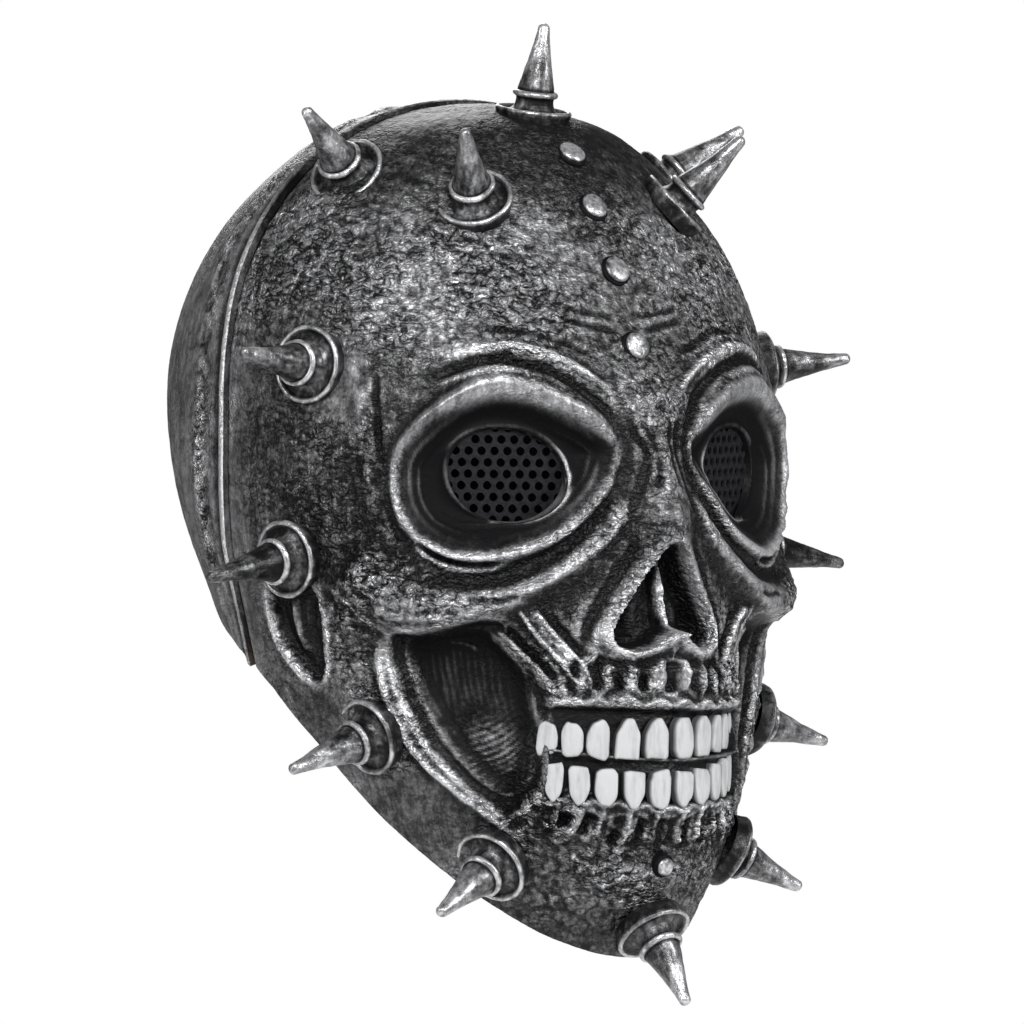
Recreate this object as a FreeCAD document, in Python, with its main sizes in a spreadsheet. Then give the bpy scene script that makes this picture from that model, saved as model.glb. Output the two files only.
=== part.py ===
import FreeCAD, Part
import Sketcher
import math
import os
from FreeCAD import Vector, Rotation, Placement

# Full-head latex skull mask. Millimetres; +Z up, the face looks to -Y, +X is the wearer's left.
# Origin: centre of the head cavity, at eye level and in line with the temple spikes.

doc = FreeCAD.newDocument("skull_mask")

SIZES = {
    "wall": 2.6,                # latex thickness
    "hood_proud": 1.3,          # the rear hood laps over the front casting by this much
    "seam_back": 37.5,          # seam plane: distance behind the origin at eye level
    "seam_lean": 2.3,           # degrees the seam leans back towards the crown
    "slit_gap": 1.2,            # opening of the back slit
    "slit_end": 5.2,            # radius of the teardrop relief at the slit's upper end
    "slit_taper": 25.0,         # the relief narrows to the slit over this length
    "eye_side": 44.0,           # eye centre, off the midline
    "eye_front": 39.0,          # eye mesh plane, ahead of the origin
    "eye_rise": 1.0,
    "eye_turn": 24.0,           # degrees the eye looks outward
    "eye_long": 21.6,           # half length of the eye opening
    "eye_short": 15.6,
    "mesh_thick": 0.9,
    "mesh_lap": 2.4,            # mesh hidden behind the opening's edge
    "bond_width": 2.6,          # glue bead around the mesh
    "bond_thick": 2.0,
    "spike_plug": 2.5,          # part of every spike that sits inside the shell
    "disc_radius": 12.0,
    "disc_bead": 2.4,
    "disc_edge": 1.9,
    "dish_level": 0.7,
    "neck_radius": 6.0,
    "collar_level": 5.6,
    "collar_radius": 8.4,
    "collar_thick": 2.2,
    "cone_radius": 6.9,
    "tip_radius": 1.8,
    "rivet_radius": 4.5,
    "rivet_height": 1.9,
    "chin_rivet_radius": 3.0,
    "rivet_plug": 2.0,
    "rivet_round": 1.3,
}
sheet = doc.addObject("Spreadsheet::Sheet", "Sizes")
for row, (alias, value) in enumerate(SIZES.items(), start=1):
    sheet.set(f"A{row}", alias)
    sheet.set(f"B{row}", str(value))
    sheet.setAlias(f"B{row}", alias)
doc.recompute()

# Level sections of the bare head, crown to chin:
# height, centre y, half width, reach forward, reach back, squareness forward, squareness back
SECTIONS = [
    (119.3, 34, 9, 8, 10, 2.0, 2.0),
    (117.6, 34, 20, 19, 23, 2.0, 2.0),
    (112, 34, 40, 38, 45, 2.0, 2.0),
    (102, 34, 59, 47, 62, 2.0, 1.95),
    (86, 33, 77, 57, 80, 2.0, 1.95),
    (64, 32, 91, 69, 97, 2.05, 1.98),
    (38, 31, 98, 80, 105, 2.1, 2.1),
    (12, 30, 99, 90, 105, 2.15, 2.2),
    (-14, 28, 99, 90, 99, 2.1, 2.12),
    (-40, 24, 97, 86, 92, 1.95, 2.0),
    (-62, 20, 92, 84, 87, 1.85, 1.95),
    (-84, 14, 84, 84, 83, 1.8, 1.95),
    (-106, 6, 73, 76, 80, 1.8, 2.0),
    (-126, -4, 60, 62, 68, 1.85, 2.0),
    (-142, -14, 46, 47, 52, 1.9, 2.0),
    (-154, -24, 32, 32, 36, 2.0, 2.0),
    (-162, -30, 20, 20, 24, 2.0, 2.0),
]
# Lower edge of the mask seen from the side: y, z
HEM = [(-95, -165), (-62, -157), (-45, -144), (-28, -128), (-11, -110), (7, -86), (22, -71), (45, -58), (73, -48),
       (100, -38), (170, -12)]
SCALE_CENTRE = Vector(0, 22, -8)

# Face relief on the bare head: x, z, half width, half height, height above the bare surface
RELIEF = [
    (45, 2, 25, 20, -11.0),     # eye socket
    (46, 40, 28, 6, 2.5),       # brow
    (15, 22, 8, 9, 2.5),        # inner brow
    (0, -3, 8, 16, 9.0),        # nasal bones
    (9, -38, 8, 13, -8.0),      # nasal aperture
    (64, -38, 20, 8, 7.0),      # cheekbone
    (50, -74, 16, 24, -10.0),   # cheek hollow
    (24, -66, 5, 12, 2.0),      # strut beside the teeth
    (0, -128, 22, 12, 2.0),     # chin
]
# Raised rim around each socket: x, z, half width, half height, rim half width as a share, height
SOCKET_RIM = (46, 2, 34, 28, 0.15, 4.5)

def section_at(height):
    """The level section at a height, on a smooth curve through the list."""
    for k in range(len(SECTIONS) - 1):
        upper, lower = SECTIONS[k], SECTIONS[k + 1]
        if lower[0] <= height <= upper[0]:
            before, after = SECTIONS[max(k - 1, 0)], SECTIONS[min(k + 2, len(SECTIONS) - 1)]
            span = lower[0] - upper[0]
            t = (height - upper[0]) / span
            section = []
            for p0, p1, p2, p3 in zip(before, upper, lower, after):
                slope_1 = (p2 - p0) / (lower[0] - before[0]) * span
                slope_2 = (p3 - p1) / (after[0] - upper[0]) * span
                bend = (2 * t ** 3 - 3 * t ** 2) * (p1 - p2)
                section.append(p1 + bend + (t ** 3 - 2 * t ** 2 + t) * slope_1 + (t ** 3 - t ** 2) * slope_2)
            return section
    return list(SECTIONS[-1])


def relief_at(x, z):
    total = 0.0
    for cx, cz, half_x, half_z, height in RELIEF:
        reach = ((abs(x) - cx) / half_x) ** 2 + ((z - cz) / half_z) ** 2
        total += height * math.exp(-(reach ** 1.5))
    cx, cz, half_x, half_z, share, height = SOCKET_RIM
    ring = math.hypot((abs(x) - cx) / half_x, (z - cz) / half_z) - 1
    return total + height * math.exp(-((ring / share) ** 2))


def skin_point(height, angle, with_relief):
    """A point of the head at this height; angle 0 is straight ahead, positive towards +X."""
    z, centre, half, front, back, square_front, square_back = section_at(height)
    ahead = math.cos(angle) > 0
    power = 2.0 / (square_front if ahead else square_back)
    reach = front if ahead else back
    x = half * math.copysign(abs(math.sin(angle)) ** power, math.sin(angle))
    y = -reach * math.copysign(abs(math.cos(angle)) ** power, math.cos(angle))
    if ahead and with_relief:
        lift = relief_at(x, z) * min(1.0, math.cos(angle) * 3.0) / math.hypot(x, y)
        x += x * lift
        y += y * lift
    return Vector(x, centre + y, z)


def closed_head(with_relief):
    """Smooth surface through the level sections, capped at the crown and below the chin.
    The line where the surface closes runs down the side that is cut away later."""
    columns, crowding, first, steps = (84, 0.35, math.pi, 3) if with_relief else (40, 0.0, 0.0, 1)
    levels = [SECTIONS[0][0]]
    for upper, lower in zip(SECTIONS, SECTIONS[1:]):
        count = steps if lower[0] < 70 else 1
        levels += [upper[0] + (lower[0] - upper[0]) * k / count for k in range(1, count + 1)]
    rows = []
    for level in levels:
        turns = [2 * math.pi * k / columns for k in range(columns)]
        row = [skin_point(level, first + turn + crowding * math.sin(turn), with_relief) for turn in turns]
        rows.append(row + row[:1])
    surface = Part.BSplineSurface()
    surface.interpolate(rows)
    surface.setVPeriodic()
    skin = surface.toShape()
    rims = [edge for edge in skin.Edges if edge.BoundBox.ZLength < 0.5]
    shell = Part.Shell([skin] + [Part.Face(Part.Wire([rim])) for rim in rims])
    shell.sewShape()
    return Part.Solid(shell)


def scaled(shape, factor):
    copy = shape.copy()
    copy.scale(factor, SCALE_CENTRE)
    return copy


def static(name, shape):
    """A document object for a shape that only Part functions can make."""
    item = doc.addObject("Part::Feature", name)
    item.Shape = shape
    return item


def boolean(kind, name, base, tool):
    item = doc.addObject(f"Part::{kind}", name)
    item.Base = base
    item.Tool = tool
    return item


def bind(item, **links):
    for prop, expression in links.items():
        item.setExpression(prop.replace("__", "."), expression)


def prism(outline, start, length):
    """Closed Y-Z outline carried along X."""
    face = Part.Face(outline)
    face.translate(Vector(start, 0, 0))
    return face.extrude(Vector(length, 0, 0))


# ---- shell blanks ------------------------------------------------------------------------------
face_head = closed_head(True)
plain_head = closed_head(False)
face_outer = static("face_outer", face_head)
face_inner = static("face_inner", scaled(face_head, 1 - SIZES["wall"] / 100))
hood_outer = static("hood_outer", scaled(plain_head, 1 + SIZES["hood_proud"] / 100))
hood_inner = static("hood_inner", scaled(plain_head, 1 - SIZES["wall"] / 100))

hem_curve = Part.BSplineCurve()
hem_curve.interpolate([Vector(0, y, z) for y, z in HEM])
lean = math.tan(math.radians(SIZES["seam_lean"]))


def seam_y(z, shift=0.0):
    return SIZES["seam_back"] + z * lean + shift


def region(rear):
    """Space above the hem and on one side of the seam plane."""
    far = 170 if rear else -95
    side = Part.makePolygon([
        Vector(0, seam_y(-200), -200), Vector(0, seam_y(160), 160),
        Vector(0, far, 160), Vector(0, far, -200), Vector(0, seam_y(-200), -200)])
    hem = Part.makePolygon([hem_curve.EndPoint, Vector(0, 170, -210), Vector(0, -95, -210), hem_curve.StartPoint])
    under = Part.Face(Part.Wire([hem_curve.toShape()] + hem.Edges))
    face = Part.Face(side).cut(under).Faces[0]
    face.translate(Vector(-160, 0, 0))
    return face.extrude(Vector(320, 0, 0))


front_region = static("front_region", region(False))
rear_region = static("rear_region", region(True))
front_solid = boolean("Common", "front_solid", face_outer, front_region)
front_shell = boolean("Cut", "front_shell", front_solid, face_inner)
rear_solid = boolean("Common", "rear_solid", hood_outer, rear_region)
rear_shell = boolean("Cut", "rear_shell", rear_solid, hood_inner)

# ---- eye openings, meshes and their glue beads -----------------------------------------------------
LEFT, RIGHT = 1, -1
SIDE_NAME = {LEFT: "left", RIGHT: "right"}


def eye_placement(side, depth):
    """Frame whose Z looks out of the eye; depth is measured back from the mesh plane."""
    turn = Rotation(Vector(0, 0, 1), side * SIZES["eye_turn"])
    look = turn.multVec(Vector(0, -1, 0))
    centre = Vector(side * SIZES["eye_side"], -SIZES["eye_front"], SIZES["eye_rise"])
    across = turn.multVec(Vector(1, 0, 0))
    return Placement(centre - look * depth, Rotation(across, Vector(0, 0, 1), look, "ZXY"))


def oval(name, side, depth, long_expr, short_expr, length_expr):
    """An elliptical slab across the eye, bound to the sheet."""
    outline = doc.addObject("Part::Ellipse", f"{name}_outline")
    outline.MajorRadius = 60
    bind(outline, MinorRadius=short_expr, MajorRadius=long_expr)
    outline.Placement = eye_placement(side, depth)
    slab = doc.addObject("Part::Extrusion", name)
    slab.Base = outline
    slab.DirMode = "Custom"
    slab.Dir = eye_placement(side, 0).Rotation.multVec(Vector(0, 0, 1))
    slab.Solid = True
    bind(slab, LengthFwd=length_expr)
    return slab


def mesh_sheet(side):
    """Perforated elliptical sheet: round holes on a triangular grid."""
    long_half = SIZES["eye_long"] + SIZES["mesh_lap"]
    short_half = SIZES["eye_short"] + SIZES["mesh_lap"]
    pitch, hole = 4.2, 1.4
    edge = Part.Wire([Part.Ellipse(Vector(0, 0, 0), long_half, short_half).toShape()])
    holes = []
    for row in range(-5, 6):
        for column in range(-6, 7):
            x = (column + (row % 2) / 2) * pitch
            y = row * pitch * 0.866
            if (x / (long_half - 3)) ** 2 + (y / (short_half - 3)) ** 2 < 1:
                holes.append(Part.Wire([Part.Circle(Vector(x, y, 0), Vector(0, 0, 1), hole).toShape()]))
    sheet_face = Part.makeFace([edge] + holes, "Part::FaceMakerBullseye")
    return sheet_face.extrude(Vector(0, 0, SIZES["mesh_thick"]))


nodes = []
front_cut = front_shell
for side in (LEFT, RIGHT):
    which = SIDE_NAME[side]
    opening = oval(f"eye_opening_{which}", side, 12, "Sizes.eye_long", "Sizes.eye_short", "60")
    front_cut = boolean("Cut", f"front_open_{which}", front_cut, opening)
    mesh = static(f"eye_mesh_{which}", mesh_sheet(side))
    mesh.Placement = eye_placement(side, SIZES["mesh_thick"])
    bead_outer = oval(f"bead_outer_{which}", side, SIZES["mesh_thick"] + SIZES["bond_thick"],
                      "Sizes.eye_long + Sizes.mesh_lap + 0.6", "Sizes.eye_short + Sizes.mesh_lap + 0.6",
                      "Sizes.bond_thick")
    bead_inner = oval(f"bead_inner_{which}", side, SIZES["mesh_thick"] + SIZES["bond_thick"] + 1,
                      "Sizes.eye_long + Sizes.mesh_lap + 0.6 - Sizes.bond_width",
                      "Sizes.eye_short + Sizes.mesh_lap + 0.6 - Sizes.bond_width", "Sizes.bond_thick + 2")
    bead = boolean("Cut", f"eye_bond_{which}", bead_outer, bead_inner)
    nodes += [mesh, bead]
face_shell = doc.addObject("Part::Refine", "face_shell")
face_shell.Source = front_cut
nodes.append(face_shell)

# ---- rear hood: fixed crown piece and two flaps beside the back slit ---------------------------------
SLIT_TOP = Vector(0, 139, 36)
HINGE_FOOT = Vector(84, 66, -63)
BULGE = Vector(0.75, 0.661, 0)
HINGE_CLEAR = 0.4


def slit_outline():
    """Slit with its teardrop end, seen from behind, as a prism through the back of the hood."""
    half, end, level = SIZES["slit_gap"] / 2, SIZES["slit_end"], SLIT_TOP.z + 1
    foot, neck = -155, level - SIZES["slit_taper"]
    corners = [(end, level), (half, neck), (half, foot), (-half, foot), (-half, neck), (-end, level)]
    points = [Vector(x, 60, z) for x, z in corners]
    edges = [Part.makeLine(p, q) for p, q in zip(points, points[1:])]
    edges.append(Part.Arc(points[-1], Vector(0, 60, level + end), points[0]).toShape())
    return Part.Face(Part.Wire(edges)).extrude(Vector(0, 120, 0))


def flap_block(side, shift):
    """Half-space block below the fold plane on one side; shift moves the plane away from the flap."""
    along = (HINGE_FOOT - SLIT_TOP).normalize()
    up = along.cross(BULGE).normalize()
    turn = Rotation(along, BULGE, up, "XZY")
    block = Part.makeBox(420, 260, 260, Vector(-120, -130, -260 + shift))
    block.Placement = Placement(SLIT_TOP, turn)
    half = block.common(Part.makeBox(200, 300, 400, Vector(0, -100, -250)))
    if side == RIGHT:
        half = half.mirror(Vector(0, 0, 0), Vector(1, 0, 0))
    return half


slit = static("slit", slit_outline())
crown = boolean("Cut", "rear_slit", rear_shell, slit)
rear_slit = crown
for side in (LEFT, RIGHT):
    which = SIDE_NAME[side]
    flap_space = static(f"flap_space_{which}", flap_block(side, -HINGE_CLEAR))
    flap = boolean("Common", f"hood_flap_{which}", rear_slit, flap_space)
    nodes.append(flap)
    flap_clearance = static(f"flap_clearance_{which}", flap_block(side, HINGE_CLEAR))
    crown = boolean("Cut", "hood_crown" if side == RIGHT else "crown_less_left", crown, flap_clearance)
nodes.append(crown)


# ---- spikes and rivets: turned bodies -----------------------------------------------------------------
def turned_body(name, profile, tip_level):
    """PartDesign body revolved about its own Z. The profile runs from the axis out and up to the tip;
    each entry is (radius, level, sheet expression for radius, sheet expression for level)."""
    body = doc.addObject("PartDesign::Body", name)
    sketch = body.newObject("Sketcher::SketchObject", f"{name}_profile")
    plane = [f for f in body.Origin.OriginFeatures if f.Role == "XZ_Plane"][0]
    sketch.AttachmentSupport = [(plane, "")]
    sketch.MapMode = "FlatFace"
    corners = [Vector(radius, level, 0) for radius, level, _, _ in profile]
    lines = []
    for start, end in zip(corners, corners[1:]):
        lines.append(sketch.addGeometry(Part.LineSegment(start, end), False))
    tip = Vector(0, tip_level, 0)
    last = corners[-1]
    centre_level = (last.x ** 2 + last.y ** 2 - tip_level ** 2) / (2 * (last.y - tip_level))
    radius = tip_level - centre_level
    start_angle = math.atan2(last.y - centre_level, last.x)
    circle = Part.Circle(Vector(0, centre_level, 0), Vector(0, 0, 1), radius)
    nose = sketch.addGeometry(Part.ArcOfCircle(circle, start_angle, math.pi / 2), False)
    axis = sketch.addGeometry(Part.LineSegment(tip, corners[0]), False)
    for one, two in zip(lines, lines[1:]):
        sketch.addConstraint(Sketcher.Constraint("Coincident", one, 2, two, 1))
    sketch.addConstraint(Sketcher.Constraint("Coincident", lines[-1], 2, nose, 1))
    sketch.addConstraint(Sketcher.Constraint("Coincident", nose, 2, axis, 1))
    sketch.addConstraint(Sketcher.Constraint("Coincident", axis, 2, lines[0], 1))
    sketch.addConstraint(Sketcher.Constraint("PointOnObject", nose, 3, -2))
    sketch.addConstraint(Sketcher.Constraint("PointOnObject", axis, 1, -2))
    sketch.addConstraint(Sketcher.Constraint("Coincident", axis, 2, -1, 1))
    sketch.addConstraint(Sketcher.Constraint("DistanceY", -1, 1, axis, 1, tip_level))
    for number, (line, (radius, level, radius_expr, level_expr)) in enumerate(zip(lines, profile[1:])):
        for kind, value, expression in (("DistanceX", radius, radius_expr), ("DistanceY", level, level_expr)):
            if value == 0:
                sketch.addConstraint(Sketcher.Constraint("PointOnObject", line, 2, -1))
                continue
            index = sketch.addConstraint(Sketcher.Constraint(kind, -1, 1, line, 2, value))
            label = f"{kind[-1].lower()}{number}"
            sketch.renameConstraint(index, label)
            if expression:
                sketch.setExpression(f"Constraints.{label}", expression)
    turn = body.newObject("PartDesign::Revolution", f"{name}_turned")
    turn.Profile = sketch
    turn.ReferenceAxis = (sketch, ["V_Axis"])
    turn.Angle = 360
    return body


def place_along(body, base, direction, plug):
    """Stand the body on a point of the shell, sunk by its plug."""
    way = direction.normalize()
    body.Placement = Placement(base - way * plug, Rotation(Vector(0, 0, 1), way))


def spike(name, base, tip):
    plug = SIZES["spike_plug"]
    disc, bead, edge = SIZES["disc_radius"], SIZES["disc_bead"], SIZES["disc_edge"]
    neck, collar, cone = SIZES["neck_radius"], SIZES["collar_radius"], SIZES["cone_radius"]
    low, thick = SIZES["collar_level"], SIZES["collar_thick"]
    height = (tip - base).Length
    shoulder = plug + height - SIZES["tip_radius"]
    profile = [
        (0, 0, None, None),
        (disc - 1, 0, "Sizes.disc_radius - 1", None),
        (disc, plug, "Sizes.disc_radius", "Sizes.spike_plug"),
        (disc - 0.6, plug + edge, "Sizes.disc_radius - 0.6", "Sizes.spike_plug + Sizes.disc_edge"),
        (disc - bead, plug + edge, "Sizes.disc_radius - Sizes.disc_bead", "Sizes.spike_plug + Sizes.disc_edge"),
        (disc - bead - 0.8, plug + SIZES["dish_level"], "Sizes.disc_radius - Sizes.disc_bead - 0.8",
         "Sizes.spike_plug + Sizes.dish_level"),
        (neck, plug + SIZES["dish_level"], "Sizes.neck_radius", "Sizes.spike_plug + Sizes.dish_level"),
        (neck, plug + low, "Sizes.neck_radius", "Sizes.spike_plug + Sizes.collar_level"),
        (collar, plug + low + 0.5, "Sizes.collar_radius", "Sizes.spike_plug + Sizes.collar_level + 0.5"),
        (collar, plug + low + thick, "Sizes.collar_radius",
         "Sizes.spike_plug + Sizes.collar_level + Sizes.collar_thick"),
        (cone, plug + low + thick + 0.3, "Sizes.cone_radius",
         "Sizes.spike_plug + Sizes.collar_level + Sizes.collar_thick + 0.3"),
        (SIZES["tip_radius"], shoulder, "Sizes.tip_radius", None),
    ]
    body = turned_body(name, profile, plug + height)
    place_along(body, base, tip - base, plug)
    return body


def rivet(name, base, direction, radius, alias):
    plug, height, edge = SIZES["rivet_plug"], SIZES["rivet_height"], SIZES["rivet_round"]
    profile = [
        (0, 0, None, None),
        (radius, 0, f"Sizes.{alias}", None),
        (radius, plug + height - edge, f"Sizes.{alias}", "Sizes.rivet_plug + Sizes.rivet_height - Sizes.rivet_round"),
        (radius - edge / 2, plug + height - edge / 3, f"Sizes.{alias} - Sizes.rivet_round / 2",
         "Sizes.rivet_plug + Sizes.rivet_height - Sizes.rivet_round / 3"),
    ]
    body = turned_body(name, profile, plug + height)
    place_along(body, base, direction, plug)
    return body


# Seat of the disc and tip of the cone, wearer's left; the right side mirrors them
PAIRED_SPIKES = {
    "spike_crown_rear": (Vector(65.3, 21.1, 95.1), Vector(90.7, 10.1, 115.2)),
    "spike_crown_front": (Vector(41.2, -14.8, 87.3), Vector(58.7, -30.1, 109.4)),
    "spike_temple": (Vector(93.5, 0.6, 33.9), Vector(126.4, -8.8, 36.6)),
    "spike_ear": (Vector(97.5, 4.3, -27.7), Vector(132.5, -1.5, -31.7)),
    "spike_jaw": (Vector(79.0, -16.6, -82.8), Vector(110.3, -19.1, -91.7)),
    "spike_jaw_lower": (Vector(48.5, -42.3, -122.5), Vector(74.6, -49.9, -136.5)),
}
MIDLINE_SPIKES = {
    "spike_crown_top": (Vector(0, 8.6, 116.2), Vector(0, 4.1, 145.5)),
    "spike_chin": (Vector(0, -64.0, -143.6), Vector(0, -83.5, -163.9)),
}
for name, (base, tip) in PAIRED_SPIKES.items():
    nodes.append(spike(f"{name}_left", base, tip))
    nodes.append(spike(f"{name}_right", Vector(-base.x, base.y, base.z), Vector(-tip.x, tip.y, tip.z)))
for name, (base, tip) in MIDLINE_SPIKES.items():
    nodes.append(spike(name, base, tip))

FOREHEAD_RIVETS = [
    (Vector(0, -11.9, 103.0), Vector(0, -0.65, 0.76)),
    (Vector(0, -24.1, 86.0), Vector(0, -0.80, 0.60)),
    (Vector(0, -36.3, 65.8), Vector(0, -0.87, 0.49)),
    (Vector(0, -47.7, 41.8), Vector(0, -0.92, 0.39)),
]
for number, (base, direction) in enumerate(FOREHEAD_RIVETS, start=1):
    nodes.append(rivet(f"rivet_forehead_{number}", base, direction, SIZES["rivet_radius"], "rivet_radius"))
nodes.append(rivet("rivet_chin", Vector(0, -68.6, -122.4), Vector(0, -0.97, -0.22),
                   SIZES["chin_rivet_radius"], "chin_rivet_radius"))

# ---- teeth: rows of rounded blocks standing in the jaw relief -------------------------------------------
# Tooth centre x, front y, width; the left half of each row, mirrored for the right
UPPER_TEETH = [(5.4, -72.6, 9.4), (15.6, -70.3, 9.0), (24.5, -66.4, 8.0), (31.6, -61.9, 7.4), (37.6, -56.6, 7.0)]
LOWER_TEETH = [(4.9, -74.2, 8.2), (14.0, -72.2, 8.2), (22.6, -68.6, 7.8), (30.0, -64.0, 7.4), (36.2, -58.8, 7.0)]
TOOTH_DEPTH = 5.0


def tooth(x, y, width, middle, height):
    """Rounded block facing out along the arch."""
    block = Part.makeBox(width, TOOTH_DEPTH, height, Vector(-width / 2, 0, -height / 2))
    block = block.makeFillet(width * 0.3, [e for e in block.Edges if abs(e.tangentAt(e.FirstParameter).y) > 0.9])
    front = [e for e in block.Edges if e.BoundBox.YMax < 0.01]
    block = block.makeFillet(0.8, front)
    turn = math.degrees(math.atan2(x, 46.0))
    block.Placement = Placement(Vector(x, y, middle), Rotation(Vector(0, 0, 1), turn))
    return block


def tooth_row(name, teeth, middle, height):
    blocks = [tooth(side * x, y, width, middle, height) for x, y, width in teeth for side in (LEFT, RIGHT)]
    return static(name, Part.makeCompound(blocks))


nodes.append(tooth_row("teeth_upper", UPPER_TEETH, -81.4, 13.4))
nodes.append(tooth_row("teeth_lower", LOWER_TEETH, -96.6, 12.2))

# ---- check and write --------------------------------------------------------------------------------------
doc.recompute()
for item in doc.Objects:
    if "Invalid" in item.State or "Error" in item.State:
        raise RuntimeError(f"{item.Name}: {item.State}")
os.makedirs("parts", exist_ok=True)
for node in nodes:
    node.Label = node.Name
    if node.Shape.isNull() or not node.Shape.isValid():
        raise RuntimeError(f"{node.Label}: bad shape")
    node.Shape.exportStep(f"parts/{node.Label}.step")
    print(node.Label, len(node.Shape.Solids), round(node.Shape.Volume))
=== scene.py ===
import math

import bpy
import numpy as np
from mathutils import Matrix, Vector


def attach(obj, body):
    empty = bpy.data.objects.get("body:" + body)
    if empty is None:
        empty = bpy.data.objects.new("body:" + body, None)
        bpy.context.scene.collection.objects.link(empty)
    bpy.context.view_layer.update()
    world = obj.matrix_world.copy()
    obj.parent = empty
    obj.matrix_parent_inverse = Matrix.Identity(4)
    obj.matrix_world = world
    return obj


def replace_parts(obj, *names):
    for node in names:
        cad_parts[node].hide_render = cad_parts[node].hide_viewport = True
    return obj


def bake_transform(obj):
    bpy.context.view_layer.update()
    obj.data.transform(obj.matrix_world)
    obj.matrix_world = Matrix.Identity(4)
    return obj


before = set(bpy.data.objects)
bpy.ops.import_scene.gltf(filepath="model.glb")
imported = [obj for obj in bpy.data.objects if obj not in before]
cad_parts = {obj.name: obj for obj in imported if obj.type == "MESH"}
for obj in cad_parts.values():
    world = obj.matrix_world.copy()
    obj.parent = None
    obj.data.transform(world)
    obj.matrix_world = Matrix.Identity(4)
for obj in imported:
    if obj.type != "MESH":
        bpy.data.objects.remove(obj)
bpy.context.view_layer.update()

MM = 0.001

# ---- Bare head: level sections, the same head as the CAD. Columns: z, centre y, half width, reach forward,
# reach back, squareness forward, squareness back
SECTIONS = np.array([
    (119.5, 34, 0, 0, 0, 2.0, 2.0),
    (117.6, 34, 20, 19, 23, 2.0, 2.0),
    (112, 34, 40, 38, 45, 2.0, 2.0),
    (102, 34, 59, 47, 62, 2.0, 1.95),
    (86, 33, 77, 57, 80, 2.0, 1.95),
    (64, 32, 91, 69, 97, 2.05, 1.98),
    (38, 31, 98, 80, 105, 2.1, 2.1),
    (12, 30, 99, 90, 105, 2.15, 2.2),
    (-14, 28, 99, 90, 99, 2.1, 2.12),
    (-40, 24, 97, 86, 92, 1.95, 2.0),
    (-62, 20, 92, 84, 87, 1.85, 1.95),
    (-84, 14, 84, 84, 83, 1.8, 1.95),
    (-106, 6, 73, 76, 80, 1.8, 2.0),
    (-126, -4, 60, 62, 68, 1.85, 2.0),
    (-142, -14, 46, 47, 52, 1.9, 2.0),
    (-154, -24, 32, 32, 36, 2.0, 2.0),
    (-162, -30, 20, 20, 24, 2.0, 2.0),
])
# Bottom edge, seen from the side: y and z
HEM = np.array([(-95, -165), (-62, -157), (-45, -144), (-28, -128), (-11, -110), (7, -86), (22, -71),
                (45, -58), (73, -48), (100, -38), (170, -12)])


def natural_spline(knots, values, x):
    """Natural cubic spline through the rows of values."""
    n = len(knots)
    step = np.diff(knots)
    matrix = np.eye(n)
    right = np.zeros((n, values.shape[1]))
    for i in range(1, n - 1):
        matrix[i, i - 1:i + 2] = step[i - 1], 2 * (step[i - 1] + step[i]), step[i]
        right[i] = 6 * ((values[i + 1] - values[i]) / step[i] - (values[i] - values[i - 1]) / step[i - 1])
    bend = np.linalg.solve(matrix, right)
    i = np.clip(np.searchsorted(knots, x) - 1, 0, n - 2)
    ahead = (x - knots[i])[..., None]
    span = step[i][..., None]

    def share_of(knot, reach):
        return bend[knot] * reach ** 3 / (6 * span) + (values[knot] / span - bend[knot] * span / 6) * reach

    return share_of(i, span - ahead) + share_of(i + 1, ahead)


mirror = SECTIONS[1:3][::-1].copy()
mirror[:, 2:5] *= -1
STATIONS = np.vstack([mirror, SECTIONS])
KNOTS = np.concatenate([[0], np.cumsum(np.hypot(np.diff(STATIONS[:, 0]), np.diff(STATIONS[:, 2])))])
KNOTS -= KNOTS[2]
REACH = KNOTS[-1]


def skin(turn, run):
    """Point of the bare head: turn about the head from straight ahead, run down the skin from the crown."""
    section = np.moveaxis(natural_spline(KNOTS, STATIONS, run), -1, 0)
    z, centre, half, front, back, sq_front, sq_back = section
    c, s = np.cos(turn), np.sin(turn)
    power = 2 / np.where(c > 0, sq_front, sq_back)
    x = half * np.sign(s) * np.abs(s) ** power
    y = centre - np.where(c > 0, front, back) * np.sign(c) * np.abs(c) ** power
    return np.stack([x, y, z + 0 * turn], -1)


down_front = np.linspace(0.3, REACH, 900)
LEVEL_0 = np.interp(0, -skin(np.zeros(900), down_front)[:, 2], down_front)


def skin_grid(across, rows, wanted, turns=(-math.pi, math.pi)):
    """Grid of points of the bare head. Rows are heights along the skin, 0 at eye level. Across runs 0..1 by
    arc length where wanted(points) holds. Returns the points and their arcs from the midline."""
    fine = np.linspace(*turns, 2401)
    points = np.empty((len(rows), len(across), 3))
    arcs = np.empty((len(rows), len(across)))
    for r, height in enumerate(rows):
        line = skin(fine, np.full(fine.size, LEVEL_0 - height))
        arc = np.concatenate([[0], np.cumsum(np.linalg.norm(np.diff(line, axis=0), axis=1))])
        ok = wanted(line)
        low, high = (arc[ok].min(), arc[ok].max()) if ok.any() else (arc[0], arc[-1])
        at = low + across * (high - low)
        points[r] = skin(np.interp(at, arc, fine), np.full(across.size, LEVEL_0 - height))
        arcs[r] = at - np.interp(0.0, fine, arc)
    return points, arcs


def grid_normals(points):
    down = np.gradient(points, axis=0)
    along = np.gradient(points, axis=1)
    normal = np.cross(along, down)
    normal /= np.maximum(np.linalg.norm(normal, axis=-1, keepdims=True), 1e-9)
    middle = points.mean(axis=(0, 1))
    if np.mean(np.sum(normal * (points - middle), axis=-1)) < 0:
        normal = -normal
    return normal


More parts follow.
